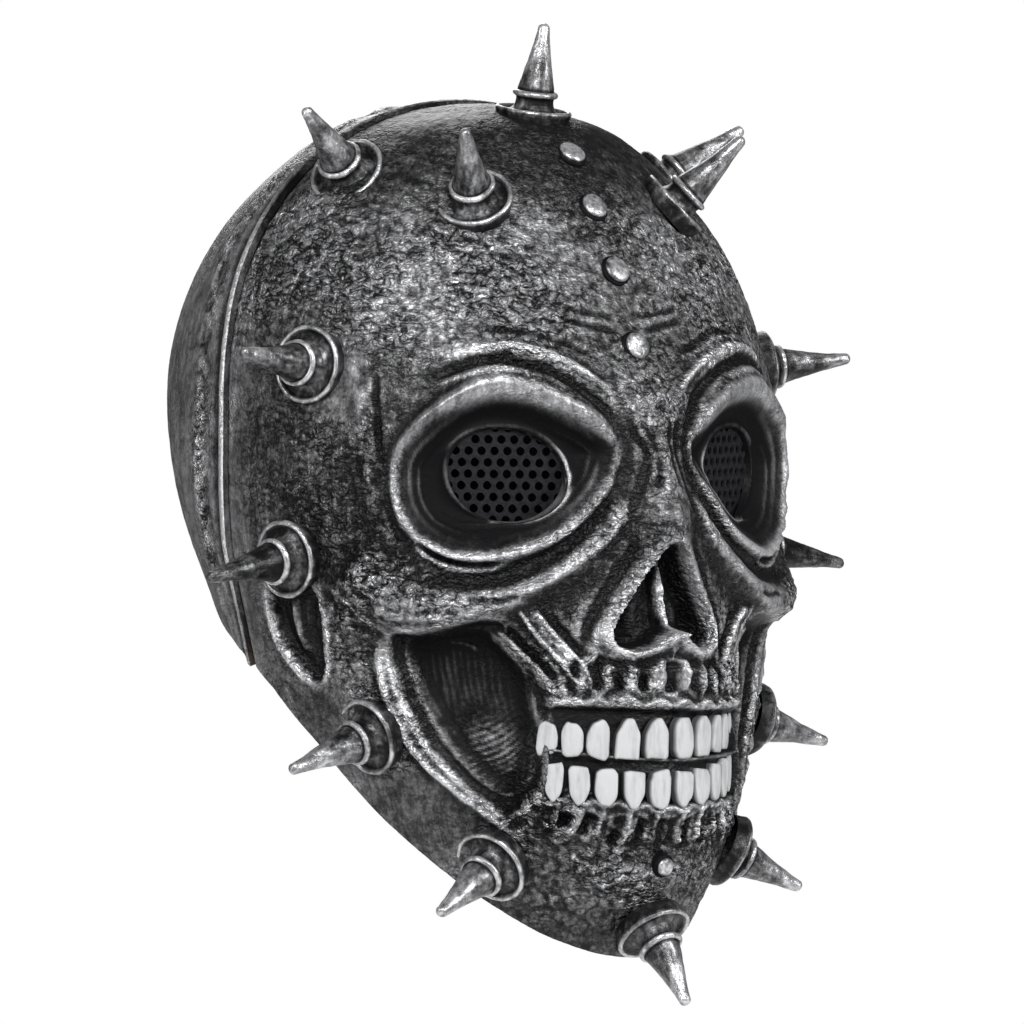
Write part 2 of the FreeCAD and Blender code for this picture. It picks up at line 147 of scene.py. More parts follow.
# ---- Noise fields on points in millimetres
def hashed(cell, salt):
    """Repeatable random numbers 0..1 for integer cells."""
    v = cell.astype(np.int64)
    key = (v[..., 0] * 73856093) ^ (v[..., 1] * 19349663) ^ (v[..., 2] * 83492791) ^ (salt * 2654435761)
    key = (key ^ (key >> 13)) * 1274126177
    key = key ^ (key >> 16)
    return (key & 0xFFFFF) / float(0x100000)


def value_noise(points, size, salt=0):
    """Smooth noise -1..1 with features of this size."""
    p = points / size
    cell = np.floor(p).astype(np.int64)
    f = p - cell
    f = f * f * f * (f * (f * 6 - 15) + 10)
    total = np.zeros(points.shape[:-1])
    for corner in range(8):
        offset = np.array([corner & 1, (corner >> 1) & 1, corner >> 2])
        weight = np.prod(np.where(offset == 1, f, 1 - f), axis=-1)
        total += weight * hashed(cell + offset, salt)
    return total * 2 - 1


def layered_noise(points, size, salt=0, layers=3, fall=0.5):
    total, share, norm = 0, 1.0, 0.0
    for k in range(layers):
        total = total + share * value_noise(points, size / 2 ** k, salt + 11 * k)
        norm += share
        share *= fall
    return total / norm


def cracks(points, size, salt=0):
    """Cell pattern: 0 on the borders between cells, rising to about 1 inside them."""
    p = points / size
    cell = np.floor(p).astype(np.int64)
    near = second = np.full(points.shape[:-1], 9.0)
    for offset in np.ndindex(3, 3, 3):
        other = cell + np.array(offset) - 1
        spot = other + np.stack([hashed(other, salt + k) for k in range(3)], -1)
        gap = np.linalg.norm(p - spot, axis=-1)
        second = np.minimum(second, np.maximum(near, gap))
        near = np.minimum(near, gap)
    return np.clip((second - near) * 2.2, 0, 1)


def smooth(edge0, edge1, x):
    t = np.clip((x - edge0) / (edge1 - edge0), 0, 1)
    return t * t * (3 - 2 * t)


def hump(value, centre, width):
    """Bell curve of height 1."""
    return np.exp(-((value - centre) / width) ** 2)


def oval(x, z, at_x, at_z, half_x, half_z):
    """Bell of height 1 over an oval."""
    return hump(x, at_x, half_x) * hump(z, at_z, half_z)


def blur(field, reach_rows, reach_columns):
    """Separable soft average over a grid, by repeated box passes."""
    out = field
    for axis, reach in ((0, reach_rows), (1, reach_columns)):
        half = max(1, int(round(reach)))
        for _ in range(2):
            pad = [(0, 0)] * out.ndim
            pad[axis] = (half + 1, half)
            summed = np.cumsum(np.pad(out, pad, mode="edge"), axis=axis)
            high = np.take(summed, range(2 * half + 1, summed.shape[axis]), axis=axis)
            low = np.take(summed, range(0, summed.shape[axis] - 2 * half - 1), axis=axis)
            out = (high - low) / (2 * half + 1)
    return out


# ---- Relief in millimetres above the bare skin. Paths run along the skin: distance from the midline, height
def smooth_path(points, closed=False, steps=6):
    """Catmull-Rom curve through the points."""
    p = np.array(points, float)
    p = np.vstack([p[-1:], p, p[:2]]) if closed else np.vstack([2 * p[0] - p[1], p, 2 * p[-1] - p[-2]])
    t = np.linspace(0, 1, steps, endpoint=False)[:, None]
    spans = []
    for a, b, c, d in zip(p, p[1:], p[2:], p[3:]):
        spans.append(0.5 * (2 * b + (c - a) * t + (2 * a - 5 * b + 4 * c - d) * t ** 2
                            + (3 * b - a - 3 * c + d) * t ** 3))
    return np.vstack(spans + [p[-2:-1]])


def path_distance(x, z, path):
    """Distance to a path and the share of its length at the nearest point."""
    lengths = np.linalg.norm(np.diff(path, axis=0), axis=1)
    start = np.concatenate([[0], np.cumsum(lengths)])
    best = np.full(x.shape, 1e9)
    share = np.zeros(x.shape)
    for k, (a, b) in enumerate(zip(path, path[1:])):
        step = b - a
        t = np.clip(((x - a[0]) * step[0] + (z - a[1]) * step[1]) / max(step @ step, 1e-9), 0, 1)
        gap = np.hypot(x - a[0] - t * step[0], z - a[1] - t * step[1])
        nearer = gap < best
        best = np.where(nearer, gap, best)
        share = np.where(nearer, (start[k] + t * lengths[k]) / start[-1], share)
    return best, share


def inside_path(x, z, path):
    """Whether each point is inside a closed path."""
    odd = np.zeros(x.shape, bool)
    for a, b in zip(path, np.roll(path, -1, axis=0)):
        crosses = (a[1] > z) != (b[1] > z)
        at = a[0] + (z - a[1]) * (b[0] - a[0]) / np.where(b[1] == a[1], 1e-9, b[1] - a[1])
        odd ^= crosses & (x < at)
    return odd


def outlined(x, z, points):
    """Distance to a rounded outline, the share along it, and whether each point is inside."""
    path = smooth_path(points, True)
    return (*path_distance(x, z, path), inside_path(x, z, path))


class Relief:
    """Height field over a skin grid; x is the distance from the midline, the same on both sides."""

    def __init__(self, arc, height, patch):
        self.patch = patch
        self.x = np.abs(arc)
        self.z = height
        self.lift = np.zeros(arc.shape)
        self.rough = np.ones(arc.shape)
        self.shine = np.zeros(arc.shape)

    def near(self, path, margin):
        low, high = path.min(0) - margin, path.max(0) + margin
        return (self.x > low[0]) & (self.x < high[0]) & (self.z > low[1]) & (self.z < high[1])

    def ridge(self, points, width, rise, shine=0.0, wave=0.0, taper=0.18):
        """Rounded ridge, or a groove with a negative rise; width and rise may change along it. Shine: extra
        silver, or less with a minus. Wave: how uneven it is. Taper: the share that fades at each end."""
        path = smooth_path(points)
        width, rise = np.atleast_1d(width), np.atleast_1d(rise)
        spot = self.near(path, 3.2 * width.max())
        gap, share = path_distance(self.x[spot], self.z[spot], path)
        width_here = np.interp(share, np.linspace(0, 1, width.size), width)
        rise_here = np.interp(share, np.linspace(0, 1, rise.size), rise)
        if wave:
            rise_here = rise_here * np.maximum(1 + 3.0 * wave * self.patch[spot], 0)
        fade = smooth(0, taper, share) * smooth(0, taper, 1 - share)
        self.lift[spot] += rise_here * fade * hump(gap, 0, width_here)
        self.shine[spot] += shine * fade * np.exp(-(gap / (0.75 * width_here)) ** 2)

    def pit(self, points, depth, edge, smooth_to):
        """Area inside an outline lowered by depth, its wall this wide."""
        spot = self.near(smooth_path(points, True), 1.0)
        gap, _, within = outlined(self.x[spot], self.z[spot], points)
        share = np.where(within, smooth(-0.25 * edge, edge, gap), 0)
        self.lift[spot] -= depth * share
        self.rough[spot] = self.rough[spot] * (1 - share) + smooth_to * share

    def mound(self, x, z, half_x, half_z, rise, power=1.0):
        reach = ((self.x - x) / half_x) ** 2 + ((self.z - z) / half_z) ** 2
        self.lift += rise * np.exp(-reach ** power)
        return self

    def texture(self, x, z, half_x, half_z, amount):
        """Blend the surface roughness towards an amount in an oval."""
        share = np.exp(-(((self.x - x) / half_x) ** 2 + ((self.z - z) / half_z) ** 2) ** 2)
        self.rough = self.rough * (1 - share) + amount * share
        return self


EYE_RING = [(89.5, 1), (88, -10), (81.5, -19.5), (70, -25), (59, -25.5), (48, -23), (38, -19),
            (29.5, -13), (22.5, -6), (17.5, 2), (15, 9), (18.5, 15.5), (29, 22), (43, 27), (57, 27.5),
            (70, 23.5), (81, 16), (87.5, 8.5)]
EYE_CENTRE = (52.2, 2.0)
EYE_REACH = (21.2, 16.6)


def eye_share(x, z):
    """Distance from the middle of the eye opening, 1 at its edge."""
    return np.hypot((x - EYE_CENTRE[0]) / EYE_REACH[0], (z - EYE_CENTRE[1]) / EYE_REACH[1])


CHEEK = [(88, -50), (80, -49), (70, -46.5), (60, -44.5), (53, -45.5), (51, -50), (47, -54), (43, -60),
         (39.5, -66), (38.5, -72), (41, -80), (42, -90), (43, -100), (47, -108), (53, -115), (60, -111),
         (68, -105), (75, -98), (80, -92), (83.5, -85), (86.5, -77), (88.5, -68), (89.5, -58)]
CHEEK_DEEP = [(83, -53), (74, -50.5), (62, -48.5), (56, -50), (51, -56), (46, -63), (44, -72),
              (45, -88), (47, -100), (54, -108), (62, -104), (69, -97), (75, -89), (79, -80), (82, -70),
              (84, -60)]
NOSE_HOLE = [(2.2, -19.5), (5.5, -23), (9, -28.5), (12.5, -34), (15.7, -39.5), (18.5, -45),
             (19.2, -49.2), (17, -52.6), (12.5, -54), (7, -52.8), (3.2, -50), (0, -48.6)]
EAR_SLOT = [(136, -36), (133.5, -48), (129.5, -58), (124.5, -67), (119, -73), (115, -72.5), (112.5, -66),
            (112.5, -54), (114, -43), (118, -36), (127, -33.5)]

# Folds, crests and grooves of the face: path, width, rise, then shine, wave and taper where they differ from
# Relief.ridge's own
RIDGES = [
    # Brow bone and cheekbone
    ([(74, 32), (58, 36.5), (41, 37), (27, 33), (18, 26)], 8, 2.4, 0, 0, 0.3),
    ([(108, -27), (98, -34), (88, -39), (76, -42), (64, -40.5), (52, -37), (42, -32), (32, -26), (23, -18),
     (16, -10), (12, -4)], [9, 9, 9, 9, 8, 7, 6, 5, 4, 4], [2, 4.5, 6, 7, 7.2, 6.5, 5, 4, 3, 2, 1.5], 0, 0,
     0.08),
    # Brow
    ([(67, 36.5), (52, 40), (39, 39.6), (27, 36), (18, 30.5), (12, 24.5)], 1.2, [0.7, 1.1, 1.1, 1.3, 1.4],
     0.08, 0.35),
    ([(77, 31), (62, 35), (48, 36), (35, 33.5), (25, 28.5), (17.5, 22), (13.5, 15)], [2.2, 2.0, 1.7], -2.0,
     -0.2),
    ([(54, 45.8), (40, 45.4), (28, 42.8), (16, 39)], 1.2, -0.8),
    ([(74, 29), (62, 32), (49, 32.6), (38, 31)], 1.2, 0.8, 0, 0.3),
    ([(26, 51), (15, 49.6), (5, 47.5)], 1.0, -0.7),
    ([(24, 54.5), (13, 53.5), (4, 52)], 0.9, -0.5),
    ([(11, 21), (8, 14), (6, 7), (9, -2), (14, -12)], 1.4, -1.3, -0.1),
    ([(7, 20), (3.5, 12), (3, 4), (5, -5)], 1.1, -0.9, 0, 0.4),
    # Under the eye: lid fold, smooth trough and the cheekbone's crests
    ([(84, -20), (78, -25.5), (68, -29.5), (58, -29.5), (51, -27)], 0.9, 1.0, 0.1),
    ([(83, -18.5), (76, -24.6), (68, -27.6), (60, -27.6), (54, -26)], 1.0, -2.0, -0.2),
    ([(80, -33), (68, -33.5), (56, -32), (46, -28.5), (37, -23), (29, -16.5), (22, -9), (17.5, -2)],
     [2.4, 3.0, 3.2, 2.8, 2.2], [-1.5, -3.0, -3.4, -3.2, -2.0], 0, 0, 0.1),
    ([(60, -36.5), (47, -34.5), (38, -30.5), (30, -25), (22.5, -19), (17, -12), (13, -5)], 1.4, 1.3, 0,
     0.3),
    ([(52, -33.5), (44, -31), (36, -26.5), (28, -20), (21, -12.5)], 0.8, 0.8, 0, 0.3),
    ([(88, -44), (76, -44), (65, -43), (55, -40.5), (47, -37.5)], 1.2, 0.8, 0, 0.4),
    ([(66, -38), (56, -38.3), (49, -36.4)], 1.2, -1.2),
    ([(112, -34), (103, -40), (95, -46), (88, -50)], 1.1, 0.7),
    ([(108, -30), (99, -36), (92, -42)], 1.4, -1.0),
    # Jaw edge and the shelf of the hollow cheek
    ([(92, -50), (92.5, -62), (91.5, -72), (89, -82), (85, -91), (79, -99), (72, -105.5), (64, -111.5),
     (56, -117), (50, -122)], [1.4, 1.4, 1.4, 1.3, 1.1], [1.0, 1.8, 2.0, 1.8, 1.4, 1.2], 0.12, 0.25, 0.1),
    ([(80, -56), (72, -54.5), (64, -55), (58, -58)], 0.9, 0.8, 0.1, 0.3),
    ([(83, -60), (80.5, -70), (77, -79), (72, -87), (66, -93)], 0.8, 0.5, -0.1, 0.3),
    # Struts from the cheekbone to the teeth: a flat strap with sharp edges, a rough band and a groove
    ([(46, -41), (40, -48.5), (34, -56), (29.5, -63.5), (27.5, -70)], 2.4, [2.2, 1.8, 1.4], 0, 0, 0.1),
    ([(49, -41), (43, -49), (37, -56.5), (32, -64), (29.5, -71)], 0.75, [1.7, 1.4, 1.0], 0.3, 0, 0.1),
    ([(43.5, -41.5), (37.5, -48.5), (31.5, -55.5), (27, -62.5), (25, -69)], 0.75, [1.5, 1.2, 0.9], 0.25, 0,
     0.1),
    ([(58, -48.5), (51.5, -53.5), (46, -60), (41.5, -66.5), (37.5, -71.5)], 2.1, 2.4, 0, 0.12),
    ([(57, -46.8), (50.3, -51.8), (44.6, -58.4), (39.8, -65)], 0.7, 0.9, 0.25, 0.2),
    ([(53, -46.5), (46.5, -53), (40.5, -60.5), (35.5, -67.5)], 1.8, -2.8, -0.2),
    ([(39, -43), (32, -51), (26.5, -58)], 1.6, -1.6, -0.15),
    # Nose
    ([(0, -21), (0, -26), (0.6, -34), (0.3, -44), (0, -51)], [1.0, 1.2, 1.5], [2, 3.5, 4.8, 5.8, 6.2], 0.35,
     0.25, 0.12),
    ([(0, -55), (7, -58), (15, -59), (24, -57.5)], 1.7, -1.3, -0.22, 0, 0.05),
    ([(2.5, -50.5), (7.5, -54), (12.5, -55.4), (18, -53.8), (21, -49)], 0.9, 0.9, 0.2),
    ([(29, -58), (27, -51), (25, -44), (20.5, -35), (14.5, -25), (9, -17)], 2.0, -1.6, -0.12),
    # Gum edges and bite line
    ([(0, -74.6), (5, -72.2), (10, -74.4), (15, -72), (20, -74.2), (24.5, -72.2), (28.5, -74), (32, -72.4),
     (36, -73.6), (41, -71.5)], 0.9, 1.3, 0.05, 0.45, 0.02),
    ([(0, -107), (4.9, -109), (9.5, -107), (14, -109), (18.5, -106.8), (22.6, -108.4), (27, -106.2),
     (30.5, -107.6), (34.5, -105), (38.5, -106.5), (43, -103)], 0.9, 1.3, 0.05, 0.45, 0.02),
    ([(0, -91.8), (12, -91.4), (24, -91), (36, -90.2), (42, -89.6)], 0.6, 1.6, 0.25, 0.2, 0.05),
    ([(0, -90.3), (12, -90), (24, -89.6), (36, -88.8), (42, -88.2)], 0.6, -0.8, -0.2, 0, 0.05),
    # Ear slot and folds beside the eye
    ([(137.5, -37), (135, -48.5), (131, -59), (126, -68), (120, -74.5)], 0.7, 1.0, 0.4, 0.3),
    ([(127, -39), (125, -51), (121, -63)], 1.6, 1.8, 0, 0.15),
    ([(120, -38), (119, -50), (117, -62)], 1.2, -1.0, -0.1),
    ([(111, -43), (110.5, -55), (111, -66), (114, -74)], 0.5, 0.6, 0.25),
    ([(90, 34), (93, 24), (94.5, 12), (92.5, 1)], [0.8, 1.8, 1.0], -1.9, -0.25, 0.4, 0.4),
    ([(92, -6), (90, -14), (86, -21)], 1.2, -1.0, -0.1, 0.4),
    ([(97, 33), (99, 15), (98, 0), (95, -15)], 1.8, 0.5, 0, 0.4),
]
# Middle of the face: height, rise and half width
PROFILE = np.array([
    (-158, 0, 24), (-145, 2.2, 24), (-135, 0.8, 24), (-122, -0.5, 26), (-110, 1.2, 32), (-96, 3, 37),
    (-89, 2.2, 37), (-81, 3, 35), (-70, 4.8, 33), (-60, 7.5, 29), (-49, 10.5, 26), (-30, 7.5, 19),
    (-17, 9.2, 13), (-11, 10, 11), (0, 6, 8.5), (13, 2.2, 8), (25, 3.2, 14), (45, 0, 16)]).T
# Round the eye ring, from its outer corner under the eye to the nose and back over the top: height of the
# crest, its width and unevenness, where the socket's funnel ends and starts, how smooth the ring is and its
# extra silver, less round the inner corner and over the top as painted shade
RING_SHAPE = [
    [2.3, 2.8, 2.6, 2.2, 1.7, 2.6, 3.6, 3.0, 2.3], [1.2, 1.4, 2.0, 2.1, 1.9, 3.2, 3.8, 2.2, 1.2],
    [0.5, 0.5, 0.35, 0.35, 0.6, 0.25, 0.12, 0.35, 0.5], [12.5, 12.5, 12.5, 12.0, 12.0, 9.0, 7.5, 9.0, 12.5],
    [0.3, 0.5, 0.5, 0.5, 0.5, 1.8, 2.6, 1.6, 0.3], [0.5, 0.4, 0.4, 0.1, 0.1, 0.7, 0.9, 0.7, 0.5],
    [0.0, 0.12, 0.16, 0.08, -0.1, -0.08, -0.16, -0.16, -0.02]]
SOCKET_DEPTH, NOSE_DEPTH, GUM_DEPTH = 9.6, 12.0, 2.6


def face_relief(arc, height, bare, step):
    """All the carved features of the skull face. Returns lift, roughness, extra silver and how
    deep in an eye socket each point is."""
    # The two halves are not quite alike: bend the coordinates a little
    drift_x = 1.3 * value_noise(bare, 46, 3) + 0.5 * value_noise(bare, 17, 4)
    drift_z = 1.3 * value_noise(bare, 46, 5) + 0.5 * value_noise(bare, 17, 6)
    f = Relief(arc + drift_x * smooth(0, 12, np.abs(arc)),
               height + drift_z + 0.045 * arc * smooth(-50, -66, height), layered_noise(bare, 5, 16, 2))
    x, z = f.x, f.z

    # Large forms
    f.lift += np.interp(z, PROFILE[0], PROFILE[1]) * hump(x, 0, np.interp(z, PROFILE[0], PROFILE[2]))
    f.mound(17, 7, 7, 11, -4.0)
    f.mound(101, -72, 14, 26, 1.8).mound(88, -38, 15, 11, 2.6)
    f.shine -= 0.11 * oval(x, z, 75, -40, 25, 9) + 0.06 * oval(x, z, 0, 5, 12, 15)

    # Eye socket: crest, funnel and its folds
    gap, share, within = outlined(x, z, EYE_RING)
    stops = np.linspace(0, 1, len(RING_SHAPE[0]))
    crest, broad, uneven, reach, start, calm, glint = (np.interp(share, stops, row) for row in RING_SHAPE)
    crest *= 1 + uneven * layered_noise(bare, 6, 12, 3)
    f.lift += crest * hump(gap, 0, np.where(within, np.minimum(broad, 3.0), broad))
    funnel = np.where(within, smooth(0, 1, (gap - start) / (reach - start)), 0)
    f.lift -= SOCKET_DEPTH * blur(funnel, 1.5 / step, 1.5 / step)
    for at, wide, tall, turn in ((4.6, 0.7, 0.5, 2.0), (7.0, 0.65, 0.7, 1.0), (9.6, 0.7, 0.9, 4.0)):
        fold = np.where(within, hump(gap, at, wide), 0) * (0.55 + 0.45 * np.sin(4 * math.pi * share + turn))
        f.lift += tall * fold
        f.shine += 0.16 * fold
    f.rough *= np.where(within, 1 - 0.85 * smooth(1, 4, gap), 1) * (1 - calm * hump(gap, 0, 3.0))
    f.shine += glint * hump(gap, 0, 2.8)
    rim = eye_share(x, z)
    f.lift += 0.9 * hump(rim, 1.04, 0.05)
    # Painted highlight along the lower inner side of the eye opening's rim
    highlight_side = smooth(-0.1, 0.9, (EYE_CENTRE[0] - x + EYE_CENTRE[1] - z) / 22)
    f.shine += 0.55 * highlight_side * hump(rim, 1.02, 0.035)

    # Cheekbone, the hollow cheek below it and the fleshy mound in that; jaw edge
    f.texture(90, -36, 24, 12, 1.6)
    f.pit(CHEEK, 4.6, 3.2, 0.35)
    f.pit(CHEEK_DEEP, 4.2, 5.0, 0.25)
    f.mound(58, -93, 14, 13, 4.2, 1.4).texture(58, -93, 17, 16, 1.6)
    f.shine -= 0.13 * oval(x, z, 58, -90, 15, 18)
    f.texture(86, -84, 8, 26, 1.2)
    hollow = blur(inside_path(x, z, smooth_path(CHEEK_DEEP, True)).astype(float), 2, 2)
    stripes = np.sin(2.3 * x + 4 * layered_noise(bare, 12, 13, 2)) * smooth(-84, -66, z)
    curves = np.sin(2.5 * (0.55 * x + z) - 0.03 * (x - 60) ** 2 + 4 * layered_noise(bare, 14, 14, 2))
    curves *= oval(x, z, 58, -93, 13, 12)
    f.lift += hollow * (0.10 * stripes + 0.22 * curves)
    f.shine += hollow * (0.05 * stripes + 0.12 * curves)

    # Nose
    signed = np.where(arc < 0, -x, x)
    spot = (x < 34) & (z < -8) & (z > -64)
    gap, _, within = outlined(signed[spot], z[spot], NOSE_HOLE + [(-a, b) for a, b in NOSE_HOLE[::-1]])
    wall = np.where(within, smooth(-0.8, 3.4, gap), 0)
    f.lift[spot] -= NOSE_DEPTH * wall
    f.shine[spot] -= 0.30 * wall
    f.lift[spot] += 1.8 * hump(gap, 0, np.where(within, 1.1, 3.5))
    f.shine[spot] += 0.06 * hump(gap, 1.2, 2.0) - 0.06 * hump(gap, 0, 8)
    f.rough[spot] *= 1 - 0.6 * wall
    f.shine -= 0.08 * oval(x, z, 0, -4, 14, 14)
    f.mound(9, -42, 3.4, 6, 2.4).mound(5.5, -31, 2.2, 6, 1.6)
    f.mound(0, -50.5, 3.6, 2.2, 0.8)

    # Jaws: gum recess, scalloped gum edges, the tooth roots and the hollows between them
    inside_mouth = smooth(43.5, 40.5, x) * smooth(-74, -76.2, z) * smooth(-107.5, -105, z)
    f.lift -= GUM_DEPTH * inside_mouth
    f.shine -= 0.3 * inside_mouth
    f.rough *= 1 - 0.75 * inside_mouth
    f.shine -= 0.3 * hump(x, 43, 2.6) * smooth(-80, -86, z) * smooth(-109, -103, z)
    pits = ((0.6, 1.6, 1.7), (9.4, 2.0, 1.5), (17, 1.0, 1.1), (24, 1.2, 1.2), (31, 0.9, 1.1))
    for at, deep_by, wide in pits:
        f.ridge([(at * 0.94, -57.5), (at, -63), (at * 1.03, -70)], wide, -deep_by, -0.15, 0.4)
    for at, wide, tall in ((4.6, 1.2, 1.1), (13.4, 1.5, 1.0), (20.5, 1.4, 0.9), (27.5, 1.6, 0.9)):
        f.ridge([(at * 0.95, -56), (at, -62), (at * 1.02, -70)], wide, tall, 0.05, 0.6)
    for at, low in ((1.0, -124), (9.5, -123), (18, -122), (26.5, -121), (34, -118)):
        sway = 1.2 * math.sin(1.7 * at)
        f.ridge([(at, -111), (at * 1.06 + sway, -116), (at * 1.12, low + sway)], 1.7, -2.1, -0.15, 0.35)
        f.ridge([(at + 4.4, -109), (at * 1.06 + 4.5 - sway, -116), (at * 1.12 + 4.8, low + 2)],
                1.0, 1.3, 0.05, 0.6)
    rooty = hump(z, -64, 6) * (0.55 + 0.45 * smooth(12, 22, x)) * smooth(46, 38, x)
    rooty += hump(z, -114, 8) * (0.4 + 0.6 * smooth(20, 34, x)) * smooth(62, 50, x)
    f.lift += 2.1 * rooty * np.clip(layered_noise(bare, 4.5, 15, 2), -0.6, 0.8)
    f.texture(47, -111, 12, 7, 1.5).texture(18, -134, 34, 20, 1.35)
    f.mound(12, -133, 16, 7, 1.6).mound(0, -127, 9, 5, -1.0)

    # Ear slot, smooth patches beside the eye and behind the slot, then every fold
    f.pit(EAR_SLOT, 4.6, 1.5, 0.8)
    f.texture(103, 30, 9, 16, 0.4).texture(152, -55, 16, 40, 0.3)
    for row in RIDGES:
        f.ridge(*row)

    # Wrinkled patches; the rest is fairly smooth
    wrinkled = np.full(x.shape, 0.42)
    for *patch, amount in (
            (52, 66, 46, 26, 0.75), (104, 0, 16, 24, 0.45), (98, -38, 22, 15, 0.6), (103, -62, 9, 18, 0.45),
            (16, -134, 30, 16, 0.4), (48, -110, 12, 9, 0.5), (6, 8, 12, 22, 0.25), (120, 55, 18, 26, 0.2),
            (18, -65, 24, 8, 0.6), (20, -115, 28, 9, 0.6), (14, -42, 18, 22, 0.3), (40, -60, 14, 14, 0.3)):
        wrinkled += amount * oval(x, z, *patch)
    f.rough *= np.clip(wrinkled, 0, 1.15)
    f.texture(88, -82, 6, 32, 0.8).texture(0, 104, 60, 16, 0.5)
    f.texture(85, -118, 30, 22, 0.2).texture(118, -92, 26, 24, 0.2)
    return f.lift, f.rough, f.shine, funnel


def latex_grain(points, rough):
    """Hammered skin: soft lumps and wandering creases. The finest wrinkles are in the material."""
    warp = np.stack([layered_noise(points, 7, salt) for salt in (21, 22, 23)], -1) * 1.8
    plates = cracks(points + warp, 4.2, 31)
    lumps = layered_noise(points, 8, 41, 3)
    creases = np.abs(layered_noise((points + warp) * [0.8, 0.8, 1.5], 6.5, 44, 2))
    pits = layered_noise(points, 2.2, 42, 2)
    folds = np.abs(layered_noise((points + 0.6 * warp) * [0.85, 0.85, 1.35], 3.2, 47, 2))
    height = 0.22 * (plates - 0.75) + 0.10 * pits + 0.44 * lumps + 2.2 * (np.minimum(creases, 0.18) - 0.14)
    height += 1.1 * (np.minimum(folds, 0.22) - 0.14)
    return height * rough


# ---- Meshes from grids
def new_piece(name, points, quads, material, tris=(), **fields):
    """Mesh object from points in millimetres. Fields become point attributes; place is the rest position."""
    points = np.asarray(points, float).reshape(-1, 3) * MM
    quads = np.asarray(quads, int).reshape(-1, 4)
    tris = np.asarray(tris, int).reshape(-1, 3)
    mesh = bpy.data.meshes.new(name)
    mesh.vertices.add(len(points))
    mesh.vertices.foreach_set("co", points.ravel())
    corners = np.concatenate([quads.ravel(), tris.ravel()])
    mesh.loops.add(len(corners))
    mesh.loops.foreach_set("vertex_index", corners)
    starts = np.concatenate([np.arange(len(quads)) * 4, len(quads) * 4 + np.arange(len(tris)) * 3])
    mesh.polygons.add(len(starts))
    mesh.polygons.foreach_set("loop_start", starts)
    mesh.update(calc_edges=True)
    mesh.validate()
    mesh.shade_smooth()
    mesh.attributes.new("place", "FLOAT_VECTOR", "POINT").data.foreach_set("vector", points.ravel())
    for key, values in fields.items():
        values = np.asarray(values, float).ravel()
        mesh.attributes.new(key, "FLOAT", "POINT").data.foreach_set("value", values)
    mesh.materials.append(material)
    piece = bpy.data.objects.new(name, mesh)
    bpy.context.scene.collection.objects.link(piece)
    return piece


LINING_STEP = 3


def snap_to_edge(keep, layers):
    """Move grid points just outside (keep < 0) onto the zero line, in every layer."""
    best = np.full(keep.shape, -1.0)
    source = np.zeros(keep.shape, int)
    flat = np.arange(keep.size).reshape(keep.shape)
    padded = np.pad(keep, 1, constant_values=-1.0)
    numbers = np.pad(flat, 1)
    rows, columns = keep.shape
    for dr, dc in np.ndindex(3, 3):
        window = (slice(dr, dr + rows), slice(dc, dc + columns))
        better = padded[window] > best
        best = np.where(better, padded[window], best)
        source = np.where(better, numbers[window], source)
    move = (keep < 0) & (best >= 0)
    share = (best / np.maximum(best - keep, 1e-9))[move][:, None]
    moved = []
    for layer in layers:
        wide = layer.reshape(keep.size, -1)
        out = wide.copy()
        start = wide[source[move]]
        out[flat[move]] = start + share * (wide[flat[move]] - start)
        moved.append(out.reshape(layer.shape))
    return moved


def grid_quads(keep, number):
    """Quads of the grid cells that have a point inside."""
    inside = keep >= 0
    used = inside[:-1, :-1] | inside[:-1, 1:] | inside[1:, 1:] | inside[1:, :-1]
    return np.stack([number[:-1, :-1], number[1:, :-1], number[1:, 1:], number[:-1, 1:]], -1)[used]


def open_edges(quads):
    """Edges that belong to one quad only, in its winding order."""
    pairs = np.stack([quads, np.roll(quads, -1, axis=1)], -1).reshape(-1, 2)
    pairs = pairs[pairs[:, 0] != pairs[:, 1]]
    key = np.sort(pairs, axis=1)
    code = key[:, 0] * (quads.max() + 1) + key[:, 1]
    _, first, count = np.unique(code, return_index=True, return_counts=True)
    return pairs[first[count == 1]]


def lowest_near(field, reach):
    out = field
    for axis in (0, 1):
        best = out.copy()
        for shift in range(-reach, reach + 1):
            best = np.minimum(best, np.roll(out, shift, axis=axis))
        out = best
    return out


